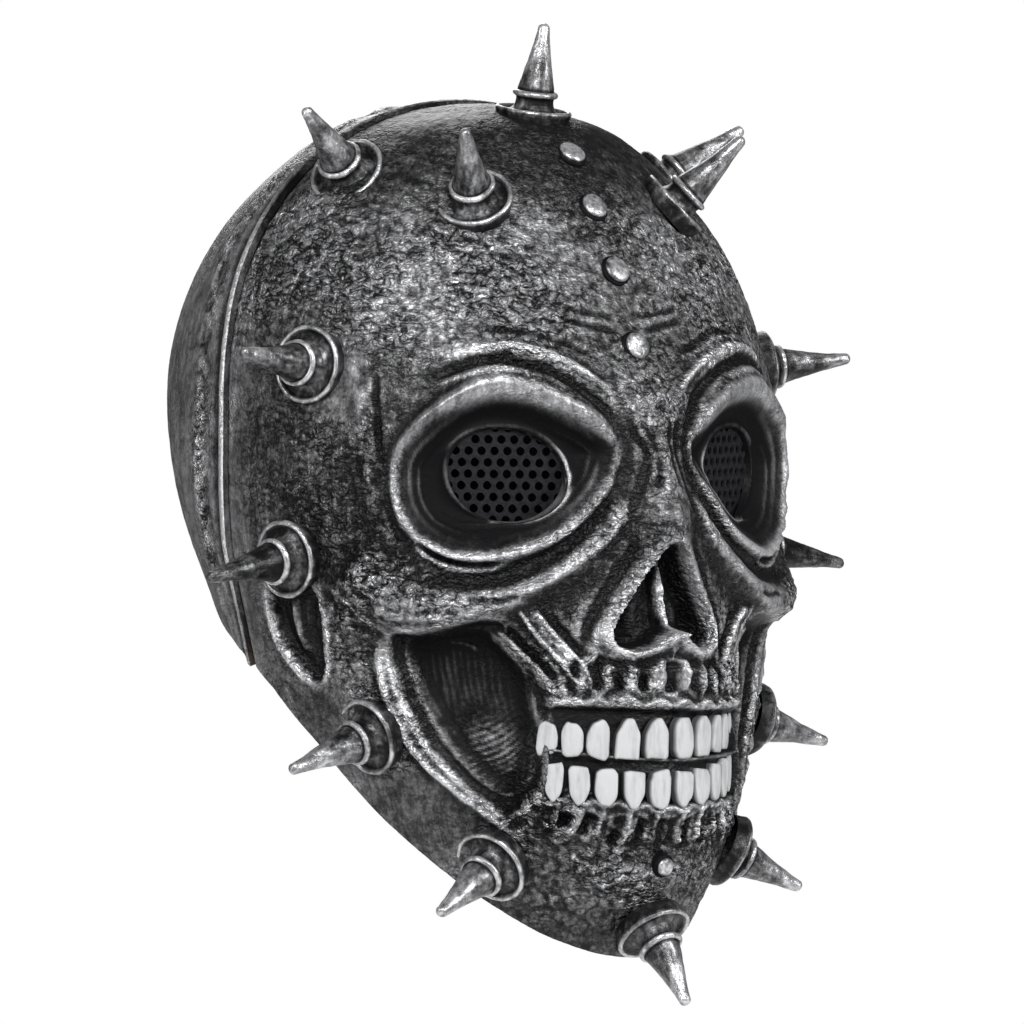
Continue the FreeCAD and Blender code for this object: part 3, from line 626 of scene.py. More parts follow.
def shell_piece(name, points, normals, lift, keep, thickness, material, closed_rows=(), **fields):
    """Latex shell: outer skin, wall edges along every cut, and a coarser lining. It adds the field raw:
    how bare the latex is near the bottom edge."""
    layers = [points + normals * lift[..., None], normals, *fields.values()]
    outer, normal, *values = snap_to_edge(keep, layers)
    number = np.arange(keep.size).reshape(keep.shape)
    number[closed_rows, -1] = number[closed_rows, 0]
    quads = grid_quads(keep, number)
    # Cut edges have their own points, so they stay crisp
    ends = open_edges(quads).ravel()
    count = len(ends)
    rim_outer = outer.reshape(-1, 3)[ends]
    rim_inner = rim_outer - normal.reshape(-1, 3)[ends] * thickness
    rim = np.arange(count).reshape(-1, 2) + keep.size
    rim_quads = np.stack([rim[:, 1], rim[:, 0], rim[:, 0] + count, rim[:, 1] + count], -1)
    low = blur(lowest_near(lift, 5), 4, 4) - thickness
    pick = (slice(0, None, LINING_STEP), slice(0, None, LINING_STEP))
    lining, = snap_to_edge(keep[pick], [(points + normals * low[..., None])[pick]])
    lining_number = np.arange(keep[pick].size).reshape(keep[pick].shape) + keep.size + 2 * count
    lining_quads = grid_quads(keep[pick], lining_number)[:, ::-1]
    everything = np.vstack([outer.reshape(-1, 3), rim_outer, rim_inner, lining.reshape(-1, 3)])
    all_quads = np.vstack([quads, rim_quads, lining_quads])
    used, packed = np.unique(all_quads, return_inverse=True)
    packed = packed.reshape(all_quads.shape)
    bare = smooth(9, 1, hem_gap(points))
    bare_rim = bare.ravel()[ends]
    raw = [np.zeros(keep.size), 0.15 * bare_rim, 0.35 * bare_rim, 0.8 * bare[pick].ravel()]
    data = {"raw": np.concatenate(raw)[used]}
    for key, value in zip(fields, values):
        # Cut walls carry the full painted shade of their edge; the other fields go on at 0.6
        at_rim = value.ravel()[ends] * (1.0 if key == "deep" else 0.6)
        inside = np.full(keep[pick].size, 0.2 if key == "brush" else 0.0)
        data[key] = np.concatenate([value.ravel(), at_rim, at_rim, inside])[used]
    # A quad with two equal corners becomes a triangle
    odd = (packed == np.roll(packed, 1, axis=1)).any(1)
    tris = [[v for k, v in enumerate(q) if q[k] != q[k - 1]] for q in packed[odd].tolist()]
    tris = [t for t in tris if len(t) == 3]
    return new_piece(name, everything[used], packed[~odd], material, tris, **data)


# ---- Materials. A helper finds the node tree from the node, socket or tree that it is given first.
def wire(node, inputs):
    """Set each input of a node to its value, or link it to its socket."""
    for key, value in inputs.items():
        if isinstance(value, bpy.types.NodeSocket):
            node.id_data.links.new(value, node.inputs[key])
        else:
            node.inputs[key].default_value = value


def add_node(near, kind, inputs=None, **settings):
    node = near.id_data.nodes.new(kind)
    for key, value in settings.items():
        setattr(node, key, value)
    wire(node, inputs or {})
    return node


def maths(operation, a, b=0.0, clamp=False):
    return add_node(a, "ShaderNodeMath", {0: a, 1: b}, operation=operation, use_clamp=clamp).outputs[0]


def plus(total, *others):
    for other in others:
        total = maths("ADD", total, other)
    return total


def times(a, b, clamp=False):
    return maths("MULTIPLY", a, b, clamp)


def vector(operation, a, b):
    key = "Scale" if operation == "SCALE" else 1
    return add_node(a, "ShaderNodeVectorMath", {0: a, key: b}, operation=operation).outputs[0]


def attribute(near, name, output="Fac"):
    return add_node(near, "ShaderNodeAttribute", attribute_name=name).outputs[output]


def ranged(value, low, high, to_low, to_high, kind="LINEAR"):
    limits = {"Value": value, "From Min": low, "From Max": high, "To Min": to_low, "To Max": to_high}
    return add_node(value, "ShaderNodeMapRange", limits, interpolation_type=kind).outputs["Result"]


def eased(*limits):
    return ranged(*limits, "SMOOTHSTEP")


def noise(where, scale, detail=3.0, rough=0.55, stretch=None):
    if stretch:
        where = add_node(where, "ShaderNodeMapping", {"Vector": where, "Scale": stretch}).outputs[0]
    settings = {"Vector": where, "Scale": scale, "Detail": detail, "Roughness": rough}
    return add_node(where, "ShaderNodeTexNoise", settings).outputs["Fac"]


def ramp(value, *stops):
    node = add_node(value, "ShaderNodeValToRGB", {"Fac": value})
    steps = node.color_ramp.elements
    while len(steps) < len(stops):
        steps.new(0.5)
    for step, (at, colour) in zip(steps, stops):
        step.position = at
        step.color = (*colour, 1.0)
    return node.outputs["Color"]


def mixed(share, a, b):
    if isinstance(b, tuple):
        b = (*b, 1.0)
    return add_node(share, "ShaderNodeMix", {0: share, 6: a, 7: b}, data_type="RGBA").outputs[2]


def bump(height, distance, strength):
    return add_node(height, "ShaderNodeBump", {"Height": height, "Distance": distance,
                                               "Strength": strength}).outputs[0]


def new_material(name, by_place=True):
    """Material, its shader and the position on the piece: the place attribute or object coordinates."""
    material = bpy.data.materials.new(name)
    material.use_nodes = True
    shader = material.node_tree.nodes["Principled BSDF"]
    if by_place:
        return material, shader, attribute(shader, "place", "Vector")
    return material, shader, add_node(shader, "ShaderNodeTexCoord").outputs["Object"]


PAINT = [(0.0, (0.003, 0.003, 0.0032)), (0.22, (0.007, 0.007, 0.0075)), (0.40, (0.030, 0.030, 0.031)),
         (0.60, (0.115, 0.115, 0.118)), (0.82, (0.30, 0.30, 0.31)), (1.0, (0.56, 0.56, 0.57))]
# Near-black that stands in for painted shade in hollows
RECESS_SHADE_BLACK = (0.003, 0.003, 0.0035)
ENAMEL = [(0.32, (0.10, 0.10, 0.105)), (0.52, (0.29, 0.295, 0.30)), (0.78, (0.40, 0.405, 0.41))]
BARE_TAN = [(0.2, (0.13, 0.09, 0.06)), (0.8, (0.22, 0.155, 0.10))]


def wandering(where, scale, detail, stretch):
    """0 along wandering lines, rising on both sides of them."""
    return maths("ABSOLUTE", ranged(noise(where, scale, detail, 0.5, stretch), 0.0, 1.0, -1.0, 1.0))


def brushed_latex(name, grain_scale=1.0, gloss=0.0):
    """Black latex dry-brushed with silver. Point attributes: brush, how much a point catches; recess shade,
    painted shade in hollows, partly the black base where no silver reaches; grain, how wrinkled its skin is;
    raw, bare tan latex."""
    material, shader, where = new_material(name)
    swirl = add_node(where, "ShaderNodeTexNoise", {"Vector": where, "Scale": 260.0, "Detail": 2.0})
    offset = vector("SUBTRACT", swirl.outputs["Color"], (0.5, 0.5, 0.5))
    bent = vector("ADD", where, vector("SCALE", offset, 0.0035))
    cells = add_node(where, "ShaderNodeTexVoronoi", {"Vector": bent, "Scale": 300.0 * grain_scale},
                     feature="DISTANCE_TO_EDGE").outputs["Distance"]
    long_lines = wandering(bent, 215 * grain_scale, 2, (0.8, 0.8, 1.7))
    short_lines = wandering(bent, 480 * grain_scale, 1, (0.9, 0.9, 1.3))
    creases = plus(eased(long_lines, 0.0, 0.08, 0.0, 0.62), eased(cells, 0.0, 0.05, 0.0, 0.38))
    pillows = plus(ranged(long_lines, 0.0, 0.26, 0.0, 0.62), ranged(short_lines, 0.0, 0.30, 0.0, 0.38))
    grain = times(attribute(where, "grain"), eased(noise(where, 42, 2), 0.38, 0.60, 0.35, 1.35))
    marks = plus(ranged(creases, 0.0, 1.0, -0.66, 0.02), ranged(pillows, 0.0, 0.9, -0.12, 0.22))
    coarse = noise(where, 120, 3, 0.6)
    fine = noise(where, 1100, 3, 0.75)
    streak = noise(where, 420, 3, 0.7, (1.0, 1.0, 0.25))
    catch = plus(attribute(where, "brush"), times(grain, marks), ranged(coarse, 0.25, 0.75, -0.11, 0.11),
                 ranged(fine, 0.25, 0.75, -0.12, 0.12), ranged(streak, 0.25, 0.75, -0.17, 0.15))
    silver = ranged(catch, 0.10, 1.02, 0.0, 1.0)
    # Painted shade in hollows: the colour goes towards near-black, rougher and with less sheen; partly the
    # black base where no silver reaches
    deep = attribute(where, "deep")
    colour = mixed(deep, ramp(silver, *PAINT), RECESS_SHADE_BLACK)
    wire(shader, {
        "Base Color": mixed(attribute(where, "raw"), colour, ramp(coarse, *BARE_TAN)),
        "Metallic": times(silver, 0.75, True),
        "Roughness": plus(ranged(fine, 0.3, 0.7, 0.36 - gloss, 0.48 - gloss), times(deep, 0.3)),
        "Specular IOR Level": times(eased(silver, 0.1, 0.7, 0.16, 0.5), eased(deep, 0.0, 1.0, 1.0, 0.4)),
        "Normal": bump(plus(times(pillows, grain), times(streak, 0.05)), 0.0021, 1.0)})
    return material


def tooth_enamel(name):
    material, shader, where = new_material(name)
    streak = noise(where, 420, 4, 0.65, (1.0, 1.0, 0.16))
    white = plus(streak, times(noise(where, 160, 2), 0.45))
    colour = ramp(white, *ENAMEL)
    # Painted shade turns each tooth's sides near-black where they run back into the gum
    wire(shader, {"Base Color": mixed(attribute(where, "deep"), colour, (0.02, 0.02, 0.021)),
                  "Roughness": ranged(streak, 0.3, 0.7, 0.38, 0.55), "Specular IOR Level": 0.3,
                  "Normal": bump(white, 0.0003, 0.8)})
    return material


def speckled(name, scale, detail, dark, pale, roughness, specular, distance, strength):
    """Plain material, mottled from dark to pale. Roughness is one value or a pair to run between."""
    material, shader, where = new_material(name, False)
    speckle = noise(where, scale, detail)
    if isinstance(roughness, tuple):
        roughness = ranged(speckle, 0.3, 0.7, *roughness)
    wire(shader, {"Base Color": ramp(speckle, (0.3, dark), (0.7, pale)), "Roughness": roughness,
                  "Specular IOR Level": specular, "Normal": bump(speckle, distance, strength)})
    return material


face_material = brushed_latex("face_latex")
hood_material = brushed_latex("hood_latex", 1.15)
spike_material = brushed_latex("spike_latex", 1.5, 0.1)
rivet_material = brushed_latex("rivet_latex", 1.5, 0.1)
tooth_material = tooth_enamel("tooth_paint")
mesh_material = speckled("eye_mesh", 900, 3, (0.004, 0.004, 0.005), (0.013, 0.013, 0.015), (0.5, 0.65), 0.12,
                         0.0002, 0.6)
glue_material = speckled("adhesive", 260, 4, (0.012, 0.012, 0.013), (0.035, 0.034, 0.033), 0.5, 0.5,
                         0.0008, 0.9)


# ---- Skull face
SEAM_BACK, SEAM_LEAN = 37.5, math.tan(math.radians(2.3))
FACE_WALL, HOOD_WALL = 2.4, 2.3


def seam_gap(points):
    """Distance ahead of the seam plane."""
    return SEAM_BACK + points[..., 2] * SEAM_LEAN - points[..., 1]


def hem_gap(points):
    """Height above the bottom edge."""
    return points[..., 2] - np.interp(points[..., 1], HEM[:, 0], HEM[:, 1])


def tuck(points):
    """How far the skin is drawn in above the rear bottom corner."""
    return 2.6 * hump(points[..., 2], -50, 24) * smooth(5, 45, points[..., 1])


def spread(length, centre_step, side_step, centre_reach, blend=30):
    """0..1 positions with fine steps near the middle of a symmetric row of this length."""
    at = [0.0]
    while at[-1] < length / 2:
        share = smooth(centre_reach, centre_reach + blend, at[-1])
        at.append(at[-1] + centre_step + share * (side_step - centre_step))
    half = np.array(at) / at[-1]
    return np.concatenate([-half[:0:-1], half]) / 2 + 0.5


def row_heights(top, bottom, fine_from, fine_step, coarse_step):
    rows = [top]
    while rows[-1] > bottom:
        share = smooth(fine_from - 15, fine_from + 25, rows[-1])
        rows.append(rows[-1] - fine_step - share * (coarse_step - fine_step))
    return np.array(rows)


def build_face():
    step = 0.72
    across = spread(330, step, 1.5 * step, 105)
    rows = row_heights(LEVEL_0 - 0.6, LEVEL_0 - REACH + 0.5, 60, step, 1.6 * step)
    points, arcs = skin_grid(across, rows, lambda line: seam_gap(line) > -3)
    normals = grid_normals(points)
    heights = rows[:, None] + 0 * arcs
    lift, rough, shine, socket = face_relief(arcs, heights, points, step)
    seam = seam_gap(points)
    form = lift - 0.7 * np.exp(-(np.maximum(seam - 0.4, 0) / 1.3) ** 2)
    grain = latex_grain(points, rough)
    lift = form + grain - tuck(points)
    # How much silver each point catches: proud of its surroundings at three scales
    cell = 0.75 / step
    small = lift - blur(lift, 2.4 * cell, 2.4 * cell)
    medium = form - blur(form, 7 * cell, 7 * cell)
    large = form - blur(form, 24 * cell, 24 * cell)
    patchy = 0.75 + 0.45 * layered_noise(points, 9, 62, 2)
    brush = 0.475 + 0.21 * np.tanh(small / 0.2) + 0.06 * np.tanh(large / 4)
    brush += 0.24 * patchy * np.tanh(medium / 1.1)
    x, z = np.abs(arcs), heights
    # Painted light and shade: a brighter pool on the forehead, lighter paint higher up and darker paint over
    # the crown
    brush += 0.13 * oval(x, z, 55, 62, 42, 32) + 0.05 * smooth(20, 60, z) - 0.20 * smooth(84, 106, z)
    brush += 0.15 * layered_noise(points, 26, 61, 2) - 0.05 * oval(x, z, 104, -2, 16, 22)
    brush += 0.13 * oval(x, z, 102, 30, 8, 15)
    brush += 0.07 * smooth(-30, -70, z) * smooth(60, 90, x) + 0.12 * smooth(16, 4, seam) * smooth(60, 20, z)
    brush += shine
    # Painted shade: broad hollows, the eye sockets and the hollow cheek darken, less on small crests and
    # silvered spots
    in_cheek = np.where(inside_path(x, z, smooth_path(CHEEK_DEEP, True)), 0.7, 0)
    in_cheek *= 1 - 0.6 * oval(x, z, 58, -93, 15, 14)
    deep = np.maximum(0.85 * smooth(-2.5, -9.5, large), 0.92 * smooth(0.01, 0.16, socket))
    deep = np.maximum(deep, in_cheek)
    deep *= (1 - 0.75 * smooth(0.1, 0.5, small)) * (1 - smooth(0.05, 0.3, shine))
    deep = blur(deep, 1, 1)
    outside_eye = (eye_share(x, z) - 1) * 17
    keep = np.minimum(np.minimum(seam - 0.3, hem_gap(points)), outside_eye)
    closed = np.flatnonzero(np.linalg.norm(points[:, 0] - points[:, -1], axis=1) < 0.01)
    rough = rough * (0.8 + 0.4 * value_noise(points, 30, 63)) * (1 - 0.5 * smooth(85, 110, z))
    return shell_piece("skull_face", points, normals, lift, keep, FACE_WALL, face_material, closed,
                       brush=np.clip(brush, 0, 1.2), deep=np.clip(deep, 0, 1), grain=np.clip(rough, 0, 1.3))


skull_face = build_face()
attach(skull_face, "mask")
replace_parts(skull_face, "face_shell")


# ---- Rear hood in two halves that meet on the midline
SLIT_TOP = np.array([0.0, 139.0, 36.0])
HINGE_FOOT = np.array([84.0, 66.0, -63.0])
BULGE = np.array([0.75, 0.661, 0.0])
fold_along = (HINGE_FOOT - SLIT_TOP) / np.linalg.norm(HINGE_FOOT - SLIT_TOP)
fold_up = np.cross(fold_along, BULGE)
fold_up /= np.linalg.norm(fold_up)
SLIT_HALF, SLIT_END, SLIT_TAPER = 0.7, 4.6, 25.0


def build_hood(side):
    step = 1.25
    across = np.linspace(0, 1, int(200 / step))
    rows = row_heights(LEVEL_0 - 0.6, LEVEL_0 - REACH + 60, 200, step, step)
    points, arcs = skin_grid(across, rows, lambda line: seam_gap(line) < 2.5, (0.0, math.pi))
    points[..., 0] *= side
    normals = grid_normals(points)
    if side < 0:
        normals = normals * np.where(np.sum(normals * (points - [0, 30, 0]), -1, keepdims=True) < 0, -1, 1)
    behind = -seam_gap(points)
    height = rows[:, None] + 0 * arcs
    shade = np.where(height < -25, smooth(-22, -52, height), 0)
    lift = 0.9 + 1.1 * (1 - 0.6 * shade) * hump(behind, 1.4, 1.5)
    lift -= 0.5 * hump(behind, 5.2, 2.0)
    lift += 0.5 * value_noise(points, 34, 71) + 0.8 * hump(behind, 15, 5) * value_noise(points, 12, 72)
    strip = hump(behind, 15, 4) * smooth(-60, -30, height)
    lift += strip * (0.5 + 1.1 * layered_noise(points, 6, 74, 2))
    lift = lift + latex_grain(points, 0.25 + 0.9 * strip) - tuck(points)
    small = lift - blur(lift, 2, 2)
    medium = lift - blur(lift, 5, 5)
    brush = 0.73 + 0.16 * np.tanh(small / 0.2) + 0.14 * np.tanh(medium / 0.6)
    brush += 0.10 * layered_noise(points, 25, 73)
    # Painted highlight along the hood's rolled front rim, fading out towards the crown, where the very edge
    # is painted darker
    brush += 0.55 * hump(behind, 1.4, 1.5) * (1 - shade) * smooth(95, 55, height)
    brush -= 0.35 * hump(behind, 0.6, 1.4) * smooth(60, 95, height)
    # Painted shade in the groove behind the rim
    deep = 0.35 * hump(behind, 5.2, 1.6) * (1 - shade)
    slit_top = SLIT_TOP[2] + 1
    opening = np.interp(points[..., 2], [slit_top - SLIT_TAPER, slit_top], [SLIT_HALF, SLIT_END])
    above = points[..., 2] - slit_top
    x = np.abs(points[..., 0])
    slit = np.where(above < 0, x - opening, np.hypot(x, above) - SLIT_END)
    slit = np.where(above > SLIT_END + 2, 3.0, slit)
    keep = np.minimum(np.minimum(behind, hem_gap(points) + 1.0), slit)
    name = "hood_left" if side > 0 else "hood_right"
    return shell_piece(name, points, normals, lift, keep, HOOD_WALL, hood_material,
                       brush=np.clip(brush, 0, 1.2), deep=np.clip(deep, 0, 1), grain=0.12 + 0.7 * strip)


for side, which in ((1, "left"), (-1, "right")):
    hood = build_hood(side)
    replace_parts(hood, "hood_crown", f"hood_flap_{which}")
    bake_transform(hood)


# ---- Spikes, rivets and teeth
def turned(name, base, direction, profile, material, around=56, bend=0.0, wobble=0.12, scratch=0.1, seed=0):
    """Turned body that stands on base. Profile rows: radius, level, brush and painted shade in recesses. Its
    tip leans by bend.
    """
    profile = np.array(profile, float)
    length = np.concatenate([[0], np.cumsum(np.linalg.norm(np.diff(profile[:, :2], axis=0), axis=1))])
    at = np.unique(np.concatenate([np.arange(0, length[-1], 0.45), length]))
    radius, level, catch, dark = (np.interp(at, length, profile[:, k]) for k in range(4))
    soften = [0.25, 0.5, 0.25]
    radius, level = (np.convolve(np.pad(v, 1, mode="edge"), soften, "valid") for v in (radius, level))
    turn = np.linspace(0, 2 * math.pi, around, endpoint=False)
    ring = turn[None] + 0 * at[:, None]
    wide = radius[:, None]
    flat = np.stack([np.cos(ring) * wide, np.sin(ring) * wide, level[:, None] + 0 * ring], -1)
    seat = np.array(base, float)
    local = flat + seat * 3.7 + seed * 13.1
    soft = layered_noise(local, 5, 81 + seed, 3)
    scratches = layered_noise(local * [1, 1, 0.25], 1.1, 83 + seed, 2)
    swell = wobble * 2.2 * soft + scratch * scratches
    flat[..., :2] *= (1 + swell / np.maximum(wide, 1.2))[..., None]
    tall = np.clip(level / max(level.max(), 1e-6), 0, 1)[:, None]
    flat[..., 0] += bend * tall ** 2 * math.cos(seed * 2.1)
    flat[..., 1] += bend * tall ** 2 * math.sin(seed * 2.1)
    up = Vector(direction).normalized()
    across = up.orthogonal().normalized()
    frame_of = np.array([across, up.cross(across), up])
    world = flat @ frame_of + seat
    brush = catch[:, None] + 0.26 * soft + 0.26 * scratches
    number = np.arange(ring.size).reshape(ring.shape)
    after = np.roll(number, -1, axis=1)
    quads = np.stack([number[:-1], after[:-1], after[1:], number[1:]], -1).reshape(-1, 4)
    top = world[-1].mean(0)
    tris = np.stack([number[-1], after[-1], np.full(around, ring.size)], -1)
    points = np.vstack([world.reshape(-1, 3), top[None]])
    both = [np.append(v.ravel(), v.ravel()[-1]) for v in (brush, dark[:, None] + 0 * ring)]
    return new_piece(name, points, quads, material, tris, brush=np.clip(both[0], 0, 1.2), deep=both[1],
                     raw=np.zeros(len(points)), grain=np.full(len(points), 0.035))


# Radius and level of the disc's rim, the collar and the cone's foot; radius and length of the blunt tip
RIM, COLLAR, FOOT, TIP = (11.7, 0.9), (6.5, 6.5), (5.95, 8.6), (1.9, 1.7)
CONE_HOLLOW = 0.35


def bead(middle, reach, start, stop, steps, catch):
    """Profile rows round a bead, between two angles in degrees. Middle and reach: radius and level."""
    angles = np.radians(np.linspace(start, stop, steps))
    return [(middle[0] + reach[0] * math.cos(a), middle[1] + reach[1] * math.sin(a), catch(a), 0)
            for a in angles]


def spike_profile(height):
    """Disc with a rolled rim and a dished face, neck, collar ring and a straight cone with a blunt tip."""
    # Last column: painted shade in recesses, darkest round the collar, under the rim and at the disc's foot,
    # a little at the cone's foot
    rows = [(11.4, -4.0, 0.30, 0.4), (12.1, -0.5, 0.36, 0.1), (12.4, 0.4, 0.50, 0)]
    rows += bead(RIM, (0.85, 0.9), -27, 180, 9, lambda a: 0.60 + 0.32 * math.sin(a))
    rows += [(10.4, 0.5, 0.34, 0.5), (9.2, 0.5, 0.42, 0.3), (8.0, 0.9, 0.50, 0.15), (7.0, 1.7, 0.54, 0.1),
             (6.4, 3.0, 0.50, 0.15), (6.2, 4.6, 0.40, 0.4), (6.3, 5.2, 0.25, 0.6)]
    rows += bead(COLLAR, (1.0, 1.0), -90, 90, 11, lambda a: 0.62 + 0.32 * math.sin(0.5 * a + 0.8))
    rows += [(6.1, 7.6, 0.25, 0.6), (6.0, 8.2, 0.42, 0.3)]
    shoulder = height - TIP[1]
    for t in np.linspace(0, 1, 17):
        radius = FOOT[0] + (TIP[0] - FOOT[0]) * t - CONE_HOLLOW * math.sin(math.pi * t)
        rows.append((radius, FOOT[1] + (shoulder - FOOT[1]) * t, 0.56 + 0.34 * t, 0.2 * max(0, 0.2 - t)))
    return rows + bead((0.02, shoulder), TIP, 15, 90, 6, lambda a: 0.92)


PAIRED_SPIKES = {
    "crown_rear": ((65.3, 21.1, 95.1), (90.7, 10.1, 115.2)),
    "crown_front": ((41.2, -14.8, 87.3), (58.7, -30.1, 109.4)),
    "temple": ((93.5, 0.6, 33.9), (126.4, -8.8, 36.6)),
    "ear": ((97.5, 4.3, -27.7), (132.5, -1.5, -31.7)),
    "jaw": ((79.0, -16.6, -82.8), (110.3, -19.1, -91.7)),
    "jaw_lower": ((48.5, -42.3, -122.5), (74.6, -49.9, -136.5)),
}
spikes = {"crown_top": ((0, 8.6, 116.2), (0, 4.1, 145.5)), "chin": ((0, -64.0, -143.6), (0, -83.5, -163.9))}
for name, (seat, tip) in PAIRED_SPIKES.items():
    spikes[f"{name}_left"] = (seat, tip)
    spikes[f"{name}_right"] = ((-seat[0], *seat[1:]), (-tip[0], *tip[1:]))
for number, (name, (seat, tip)) in enumerate(spikes.items()):
    way = Vector(tip) - Vector(seat)
    profile = spike_profile(way.length)
    dull = 0.3 if name.startswith("ear") else 0.12 if name.startswith("temple") else 0.0
    profile = [(radius, level, catch - dull * (level > 8), dark) for radius, level, catch, dark in profile]
    piece = turned(f"cone_{name}", seat, way, profile, spike_material, bend=1.3, seed=number)
    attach(piece, "mask")
    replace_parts(piece, f"spike_{name}")

RIVETS = [
    ("forehead_1", (0, -11.9, 103.0), (0, -0.65, 0.76), 4.5),
    ("forehead_2", (0, -24.1, 86.0), (0, -0.80, 0.60), 4.5),
    ("forehead_3", (0, -36.3, 65.8), (0, -0.87, 0.49), 4.5),
    ("forehead_4", (0, -47.7, 41.8), (0, -0.92, 0.39), 4.5),
    ("chin", (0, -68.6, -122.4), (0, -0.97, -0.22), 3.0)]
for number, (name, seat, way, radius) in enumerate(RIVETS):
    # Last column: painted shade, heavy round the stud's foot
    rows = [(radius + 0.9, -2.5, 0.2, 0.9), (radius + 0.8, 0.2, 0.2, 0.9), (radius + 0.2, 0.35, 0.2, 0.9),
            (radius, 0.6, 0.3, 0.5), (radius, 1.0, 0.6, 0.1)]
    for k in range(13):
        a = 0.5 * math.pi * k / 12
        rows.append((radius * math.cos(a) ** 0.55 + 0.02, 1.0 + 1.1 * math.sin(a),
                     0.74 + 0.16 * math.sin(a), 0))
    piece = turned(f"stud_{name}", seat, way, rows, rivet_material, 48, wobble=0.05, scratch=0.06,
                   seed=40 + number)
    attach(piece, "mask")
    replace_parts(piece, f"rivet_{name}")


def tooth_block(x, y, z, width, height, lower, seed):
    """One tooth: rounded outline, bulged face, sides running back into the gum."""
    jitter = [float(v) for v in hashed(np.array([[seed, k, 3] for k in range(6)]), 91) * 2 - 1]
    rings, around = 9, 40
    turn = np.linspace(0, 2 * math.pi, around, endpoint=False)
    c, s = np.cos(turn), np.sin(turn)
    power = 2 / np.where((s < 0) == lower, 2.5, 5.0)
    outline_x = np.sign(c) * np.abs(c) ** power
    outline_z = np.sign(s) * np.abs(s) ** power
    uneven = 0.03 * np.sin(3 * turn + 5 * jitter[4]) + 0.02 * np.sin(7 * turn + 9 * jitter[5])
    outline_x, outline_z = outline_x * (1 + uneven), outline_z * (1 + uneven)
    toward_root = -outline_z if lower else outline_z
    half_w = width / 2 * 0.91 * (1 + 0.09 * jitter[0])
    half_h = height / 2 * (1 + 0.05 * jitter[1])
    pinch = 0.34 if lower else 0.22
    narrow = 1 - pinch * np.clip(toward_root, 0, 1) ** 2 - 0.025 * (1 + toward_root)
    slant = 1 + 0.13 * jitter[3] * outline_x + 0.08 * jitter[5] * np.sin(3 * turn)
    points, deep = [], []
    for k in range(rings + 3):
        inner = k <= rings
        share = k / rings if inner else 1.0
        back = 0.0 if inner else (k - rings) * 1.6
        bulge = 0.35 * (1 - share ** 4)
        px = half_w * share * outline_x * narrow + 0.25 * jitter[2] * outline_z
        pz = half_h * share * outline_z * slant
        local = np.stack([px, 0 * px - bulge + back, pz], -1)
        local[:, 1] += 0.14 * layered_noise(local * [1, 1, 0.3] + seed * 7.3, 1.6, 95, 2)
        points.append(local)
        # Painted shade: dark on the sides that run back into the gum, a little at the outer edge of the face
        deep.append(np.full(around, 0.0 if share < 0.93 else (0.25 if inner else 0.9)))
    local = np.vstack([points[0][:1] * [0, 1, 0]] + points[1:])
    angle = math.atan2(x, 46.0) + 0.05 * jitter[3]
    tilt = 0.06 * jitter[4]
    cosine, sine = math.cos(angle), math.sin(angle)
    lx, ly, lz = local.T
    lx, lz = lx + tilt * lz, lz - tilt * lx
    world = np.stack([x + cosine * lx - sine * ly, y + sine * lx + cosine * ly,
                      z + lz + 0.3 * jitter[5]], -1)
    number = 1 + np.arange((rings + 2) * around).reshape(rings + 2, around)
    after = np.roll(number, -1, axis=1)
    quads = np.stack([number[:-1], number[1:], after[1:], after[:-1]], -1).reshape(-1, 4)
    tris = np.stack([np.zeros(around, int), number[0], after[0]], -1)
    dark = np.concatenate([[0.0], *deep[1:]])
    return world, quads, tris, dark


TEETH_SHIFT = 1.5


def tooth_row(name, teeth, z, height, lower):
    """Teeth of one jaw, both sides. Each tooth: distance from the midline, y and width."""
    blocks = []
    for side, first_seed in ((1, 20), (-1, 50)):
        for k, (x, y, width) in enumerate(teeth):
            out = (x / 37) ** 2
            tall = height + (1.0 if lower else -2.8) * out
            middle = z + (2.5 * out if lower else 0.0)
            seed = first_seed + k + 9 * lower
            blocks.append(tooth_block(side * x - TEETH_SHIFT, y, middle, width, tall, lower, seed))
    points, quads, tris, dark = zip(*blocks)
    size = len(points[0])
    quads = [q + size * n for n, q in enumerate(quads)]
    tris = [t + size * n for n, t in enumerate(tris)]
    piece = new_piece(name, np.vstack(points), np.vstack(quads), tooth_material, np.vstack(tris),
                      deep=np.concatenate(dark))
    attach(piece, "mask")
    return piece


UPPER_TEETH = [(5.4, -72.6, 9.4), (15.6, -70.3, 9.0), (24.5, -66.4, 8.0), (31.6, -61.9, 7.4),
               (37.6, -56.6, 7.0)]
LOWER_TEETH = [(4.9, -74.2, 8.2), (14.0, -72.2, 8.2), (22.6, -68.6, 7.8), (30.0, -64.0, 7.4),
               (36.2, -58.8, 7.0)]
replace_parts(tooth_row("tooth_row_upper", UPPER_TEETH, -81.3, 13.0, False), "teeth_upper")
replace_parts(tooth_row("tooth_row_lower", LOWER_TEETH, -97.5, 11.6, True), "teeth_lower")

# Perforated eye meshes and their glue beads keep the CAD shape
for side in ("left", "right"):
    for kind, material in (("eye_mesh", mesh_material), ("eye_bond", glue_material)):
        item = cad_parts[f"{kind}_{side}"]
        item.data.materials.clear()
        item.data.materials.append(material)


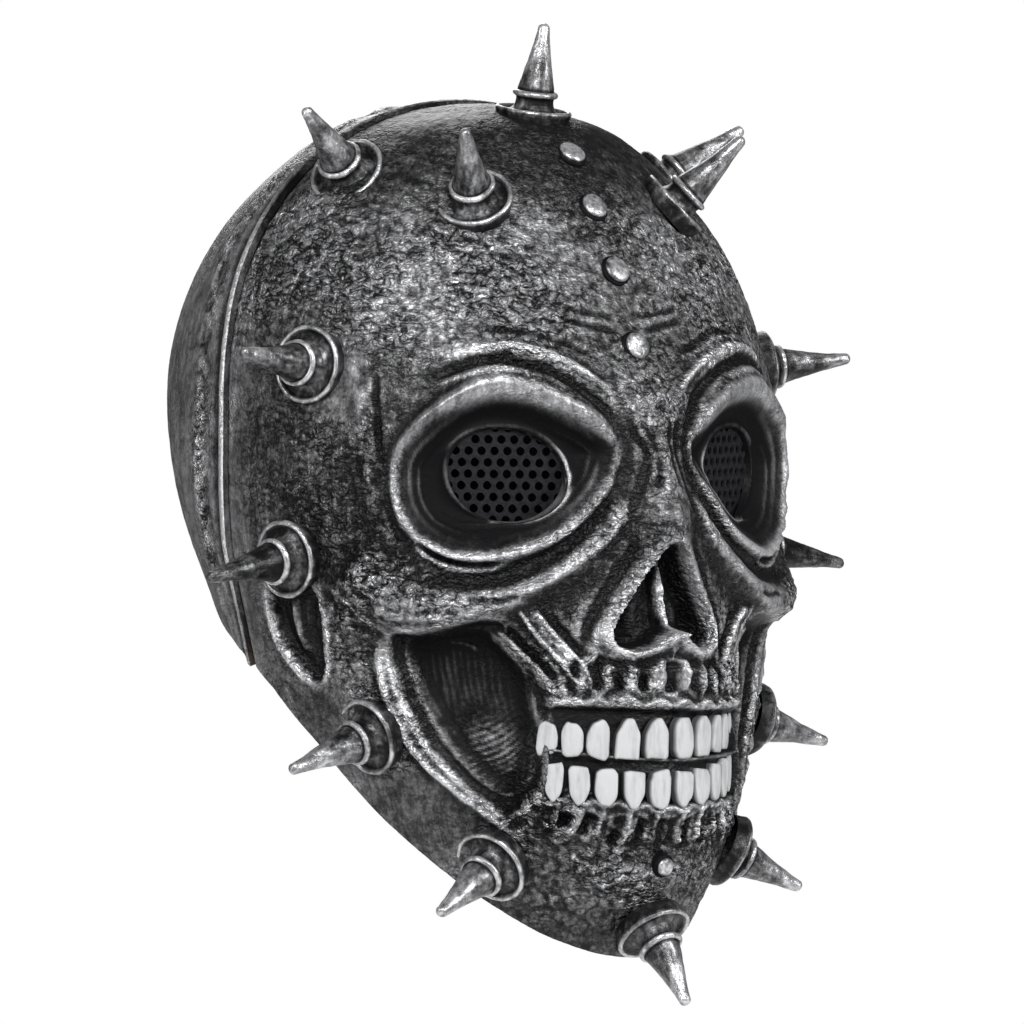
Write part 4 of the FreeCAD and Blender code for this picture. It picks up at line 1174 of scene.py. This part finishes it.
# ---- Camera, light and floor
def aim(thing, azimuth, elevation, distance, roll=0.0, shift=(0.0, 0.0)):
    """Place a camera or lamp looking at the origin, or beside it by the shift; azimuth 0 looks along +Y."""
    a, e, r = (math.radians(v) for v in (azimuth, elevation, roll))
    back = Vector((math.sin(a) * math.cos(e), -math.cos(a) * math.cos(e), math.sin(e)))
    right = Vector((math.cos(a), math.sin(a), 0))
    up = back.cross(right)
    right, up = right * math.cos(r) + up * math.sin(r), up * math.cos(r) - right * math.sin(r)
    place = back * distance + right * shift[0] + up * shift[1]
    turn = Matrix((right, up, back)).transposed().to_4x4()
    thing.matrix_world = Matrix.Translation(place) @ turn


camera = bpy.data.objects.new("camera", bpy.data.cameras.new("camera"))
bpy.context.scene.collection.objects.link(camera)
camera.data.lens, camera.data.sensor_width = 183, 36
camera.data.clip_start, camera.data.clip_end = 0.05, 20
aim(camera, -38, 3, 1.7, roll=1.5, shift=(-0.00914, -0.0137))
bpy.context.scene.camera = camera


def softbox(name, azimuth, elevation, distance, width, height, watts):
    """Rectangular lamp that faces the origin; degrees, metres and watts."""
    lamp = bpy.data.objects.new(name, bpy.data.lights.new(name, "AREA"))
    lamp.data.shape = "RECTANGLE"
    lamp.data.size, lamp.data.size_y = width, height
    lamp.data.energy = watts
    bpy.context.scene.collection.objects.link(lamp)
    aim(lamp, azimuth, elevation, distance)


softbox("key_light", -36, 35, 1.5, 0.6, 0.6, 25)
softbox("side_light", -92, 12, 1.6, 0.4, 1.2, 9)
softbox("fill_light", 26, 22, 1.8, 0.6, 1.0, 28)
softbox("rim_light", 150, 30, 1.6, 0.6, 1.2, 9)

SURROUND_GLOW = 0.11
world = bpy.data.worlds.new("studio")
bpy.context.scene.world = world
world.use_nodes = True
surround = world.node_tree.nodes["Background"]
seen = add_node(surround, "ShaderNodeLightPath").outputs["Is Camera Ray"]
wire(surround, {"Color": (1, 1, 1, 1), "Strength": ranged(seen, 0.0, 1.0, SURROUND_GLOW, 1.0)})
bpy.context.scene.view_settings.view_transform = "Standard"

bpy.ops.mesh.primitive_circle_add(vertices=96, radius=1.25, fill_type="NGON", location=(0, 0.2, -0.46))
floor = bpy.context.object
floor.name = "floor"
floor.data.materials.append(speckled("floor", 30, 3, (0.86,) * 3, (0.90,) * 3, 0.7, 0.5, 0.0005, 0.2))
